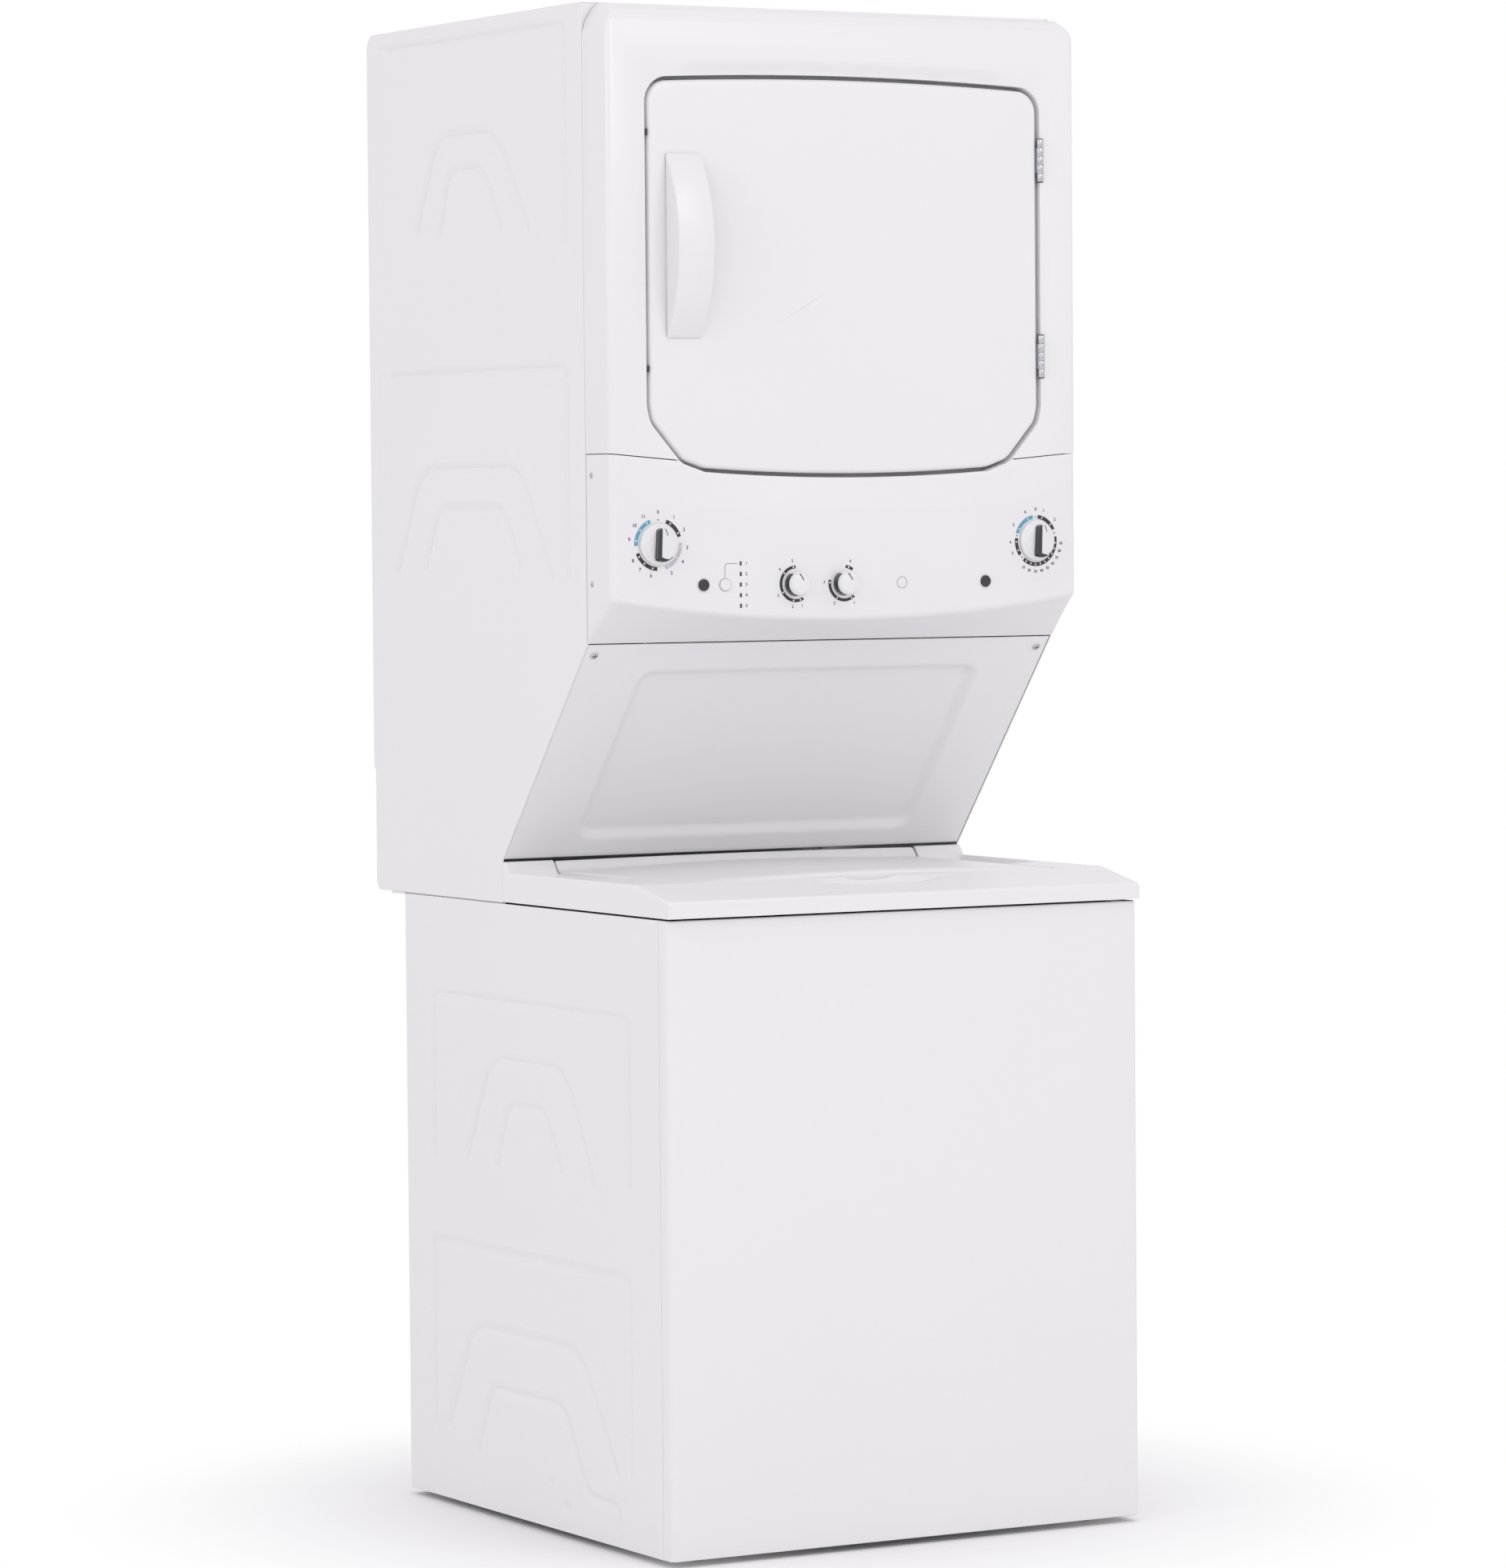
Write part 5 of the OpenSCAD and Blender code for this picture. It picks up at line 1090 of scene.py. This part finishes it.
def screws():
    """Screws of the console's ends, the sloping panel and the dryer's back."""
    slope_out = Vector((0, -math.sin(PANEL_A), -math.cos(PANEL_A)))
    down = 18.0              # from the slope's upper edge
    slope_y = PANEL_TOP[0] + down * math.cos(PANEL_A)
    slope_z = PANEL_TOP[1] - down * math.sin(PANEL_A)
    back_zs = [CAB_TOP + 61 + k * (STACK_TOP - CAB_TOP - 161) / 4 for k in range(5)]
    groups = {               # radius and height of the heads, then their places and directions
        "console_end_screws": (4.0, 0.8, [
            ((side * (HALF_W - CONSOLE_INSET), SIDE_Y - 14, z), Vector((side, 0, 0)))
            for side, _ in SIDES for z in (STACK_TOP - 586, STACK_TOP - 721)]),
        "back_screws": (4.5, 2.0, [
            ((side * (HALF_W - 11.5), BACK_FACE, z), Vector((0, 1, 0)))
            for side, _ in SIDES for z in back_zs]),
        "sloping_panel_screws": (5.4, 2.2, [
            ((side * (HALF_W - 16.5), slope_y, slope_z), slope_out) for side, _ in SIDES]),
    }
    for name, (radius, height, places) in groups.items():
        points = [at(*p) for p, out in places]
        turns = [out.to_track_quat("Z", "Y").to_euler() for p, out in places]
        made = repeated(name, pan_head(radius, height), points, turns, FINISH["hinge_steel"])
        piece(made, "root", "hinge_steel", *(["panel_screws"] if name == "sloping_panel_screws" else []))


# ---------------------------------------------------------------- door and bezel
def front_ring(node):
    """Outline of a node's flat front, anticlockwise round its middle, in millimetres."""
    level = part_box(node)[0].y + 1e-4
    found = {(round(v.co.x / MM, 2), round((v.co.z - FOOT) / MM, 2))
             for v in frame["nodes"][node].data.vertices if v.co.y < level}
    mid = np.array([0, (DOOR_Z0 + DOOR_Z1) / 2])
    ring = sorted(found, key=lambda p: math.atan2(p[1] - mid[1], p[0]))
    return np.array(ring), mid


def finer(ring, step):
    """The ring with points added along its long sides."""
    out = []
    for a, b in zip(ring, np.roll(ring, -1, 0)):
        count = max(1, int(np.linalg.norm(b - a) / step))
        out += [a + (b - a) * t / count for t in range(count)]
    return np.array(out)


def door_skin():
    """Crowned door skin with a rounded edge and deep sides."""
    ring, mid = front_ring("door_outer")
    ring = finer(ring, 12)
    tangent = np.roll(ring, -1, 0) - np.roll(ring, 1, 0)
    normal = np.stack([tangent[:, 1], -tangent[:, 0]], 1) / np.linalg.norm(tangent, axis=1)[:, None]
    radius, crown, depth = 6.0, 1.6, 28.4
    rows = [[at(p[0], DOOR_Y + depth, p[1]) for p in ring]]
    for a in np.linspace(0, math.pi / 2, 8):
        inset = radius * (1 - math.cos(a))
        y = DOOR_Y + crown + radius * (1 - math.sin(a))
        rows.append([at(p[0], y, p[1]) for p in ring - normal * inset])
    face = ring - normal * radius
    for s in (0.97, 0.9, 0.8, 0.68, 0.55, 0.4, 0.25, 0.12, 0.01):
        y = DOOR_Y + crown * s ** 2.5
        rows.append([at(p[0], y, p[1]) for p in mid + (face - mid) * s])
    bm = bmesh.new()
    made = add_grid(bm, rows, wrap=True)
    bm.faces.new(made[-1])
    obj = thickened(bm, "door_skin", SHEET - 0.1, Vector((0, 1, 0)), 50)
    piece(obj, "dryer_door", "white_enamel", "door_outer")


def hinge_barrels():
    """Rolled knuckles of the two door hinges, in turn on the frame and on the door."""
    length, count = 54.0, 5
    pin_x, pin_y = DOOR_HALF + DOOR_GAP, BEZEL_Y - 1
    step = length / count
    ends = [(3.0, 0.35), (3.8, 0.5), (4.2, 1.2)]     # radius, and distance from a knuckle's end
    for body, turns in (("root", (0, 2, 4)), ("dryer_door", (1, 3))):
        bm = bmesh.new()
        for z in [middle - length / 2 + i * step for middle in HINGE_Z for i in turns]:
            profile = [(r, z + e) for r, e in ends] + [(r, z + step - e) for r, e in reversed(ends)]
            add_tube(bm, [[at(pin_x + u, pin_y + v, h) for u, v in circle(r, 24)] for r, h in profile])
        piece(finish_mesh(bm, "knuckles_" + body, 50), body, "hinge_steel")


def softened(node, body, slot, radius, name, limit=35, material=None):
    """A CAD node's own shape with its sharp edges rounded."""
    bm = bmesh.new()
    bm.from_mesh(frame["nodes"][node].data)
    bmesh.ops.remove_doubles(bm, verts=bm.verts, dist=1e-5)
    bmesh.ops.dissolve_limit(bm, angle_limit=math.radians(0.6), verts=bm.verts, edges=bm.edges)
    obj = finish_mesh(bm, name, limit, outward=False)
    edge = obj.modifiers.new("edge", "BEVEL")
    edge.width, edge.segments = radius * MM, 3
    edge.limit_method, edge.angle_limit = "ANGLE", math.radians(limit)
    baked(obj)
    obj.data.shade_smooth()
    obj.data.set_sharp_from_angle(angle=math.radians(limit))
    piece(obj, body, slot, node, material=material)


# ---------------------------------------------------------------- the pieces
washer_cabinet()
dryer_sides()
front_wrap()
top_cover()
lid()
access_panel()
console()
for knob, side in (("washer_cycle_knob", -1), ("dryer_cycle_knob", 1)):
    cycle_knob(knob, side * CYCLE_X)
for knob, place in zip(("temperature_knob", "load_knob"), SELECTOR_X):
    selector_knob(knob, place)
for button, place in zip(("washer_start_button", "dryer_start_button"), START_X):
    push_button(button, place, "dark_button")
push_button("rinse_button", RINSE_X, "knob_plastic")
printing()
trims()
screws()
door_skin()
hinge_barrels()
softened("door_handle", "dryer_door", "white_plastic", 2.2, "bow_handle")
bezel_enamel = enamel("bezel enamel", WHITE, 0.25, dish_over_door)
softened("dryer_front_panel", "root", "white_enamel", 1.6, "bezel", material=bezel_enamel)
softened("door_inner", "dryer_door", "white_enamel", 1.0, "door_liner")

# ---------------------------------------------------------------- carried-over nodes
SLOTS = {s["node"]: s["material_slot"] for s in frame["record"]["subparts"]}
for node_name, node in frame["nodes"].items():
    node.data.materials.clear()
    node.data.materials.append(FINISH[SLOTS[node_name]])


# ---------------------------------------------------------------- camera, light, floor
LENS, SENSOR = 142.44, 36.0
EYE = (-3977.6, -6602.1, 1277.1)
YAW, PITCH, ROLL = 0.51761, -0.043019, -0.008327

PANELS = [               # name, place and target in metres, size, watts
    ("key panel", (0.5, -3.2, 3.2), (0, -0.2, 1.6), (1.8, 1.2), 16),
    ("fill panel", (-4.0, -1.2, 2.6), (0, 0, 1.2), (1.6, 2.2), 16),
    ("low panel", (0.3, -2.6, 0.35), (0, -0.1, 1.05), (2.0, 0.5), 1.8),
]
ROOM, ROOM_STRENGTH = (0.96, 0.935, 0.97, 1), 0.92
FLOOR_NEAR, FLOOR_FAR = 0.3, 0.95    # metres over which the floor fades to the white background


def camera():
    """A long lens at the height of the controls, turned thirty degrees to the front."""
    data = bpy.data.cameras.new("camera")
    data.lens, data.sensor_width = LENS, SENSOR
    obj = bpy.data.objects.new("camera", data)
    forward = Vector((math.sin(YAW) * math.cos(PITCH), math.cos(YAW) * math.cos(PITCH), math.sin(PITCH)))
    right = Vector((math.cos(YAW), -math.sin(YAW), 0))
    up = right.cross(forward)
    across = right * math.cos(ROLL) + up * math.sin(ROLL)
    top = up * math.cos(ROLL) - right * math.sin(ROLL)
    turn = Matrix((across, top, -forward)).transposed()
    obj.matrix_world = Matrix.Translation(at(*EYE)) @ turn.to_4x4()
    bpy.context.scene.collection.objects.link(obj)
    bpy.context.scene.camera = obj


def panel_light(name, place, target, size, power):
    data = bpy.data.lights.new(name, "AREA")
    data.shape, data.size, data.size_y = "RECTANGLE", size[0], size[1]
    data.energy = power
    obj = bpy.data.objects.new(name, data)
    obj.location = place
    obj.rotation_euler = (Vector(target) - Vector(place)).to_track_quat("-Z", "Y").to_euler()
    bpy.context.scene.collection.objects.link(obj)


def room():
    """Even light from all round, which the camera sees as white."""
    world = bpy.data.worlds.new("room")
    bpy.context.scene.world = world
    world.use_nodes = True
    nodes, links = world.node_tree.nodes, world.node_tree.links
    nodes.clear()
    kinds = ("LightPath", "Math", "Background", "Background", "MixShader", "OutputWorld")
    rays, seen, light, pale, mix, out = (nodes.new("ShaderNode" + kind) for kind in kinds)
    seen.operation = "MAXIMUM"
    light.inputs["Color"].default_value = ROOM
    light.inputs["Strength"].default_value = ROOM_STRENGTH
    pale.inputs["Color"].default_value = (1, 1, 1, 1)
    links.new(rays.outputs["Is Camera Ray"], seen.inputs[0])
    links.new(rays.outputs["Is Transmission Ray"], seen.inputs[1])
    links.new(seen.outputs[0], mix.inputs["Fac"])
    links.new(light.outputs[0], mix.inputs[1])
    links.new(pale.outputs[0], mix.inputs[2])
    links.new(mix.outputs[0], out.inputs["Surface"])


def floor():
    """Pale floor that keeps the shadow and fades to the white background."""
    bm = bmesh.new()
    add_grid(bm, [[Vector((u, v, 0)) for u, v in circle(radius, 48)] for radius in (0.001, 1, 3, 9, 30)],
             wrap=True)
    obj = finish_mesh(bm, "floor", outward=False)
    paint = Paint("pale floor", (0.90, 0.90, 0.90), 0.8)
    away = paint.node("ShaderNodeVectorMath", {"operation": "LENGTH"}, paint.place(), out="Value")
    seen = paint.node("ShaderNodeLightPath", out="Is Camera Ray")
    glow = paint.node("ShaderNodeEmission", None, Color=(1, 1, 1, 1), Strength=1.0)
    surface = Wire(paint, paint.shader.outputs[0])
    fade = away.ramp(FLOOR_NEAR, FLOOR_FAR) * seen
    paint.plug(paint.output.inputs["Surface"],
               paint.node("ShaderNodeMixShader", None, fade, surface, glow))
    paint.set("Base Color", paint.mix(paint.noise(3.0), (0.89, 0.89, 0.89), (0.91, 0.91, 0.91)))
    obj.data.materials.append(paint.material)


camera()
room()
for panel in PANELS:
    panel_light(*panel)
floor()
bpy.context.scene.view_settings.view_transform = "Standard"
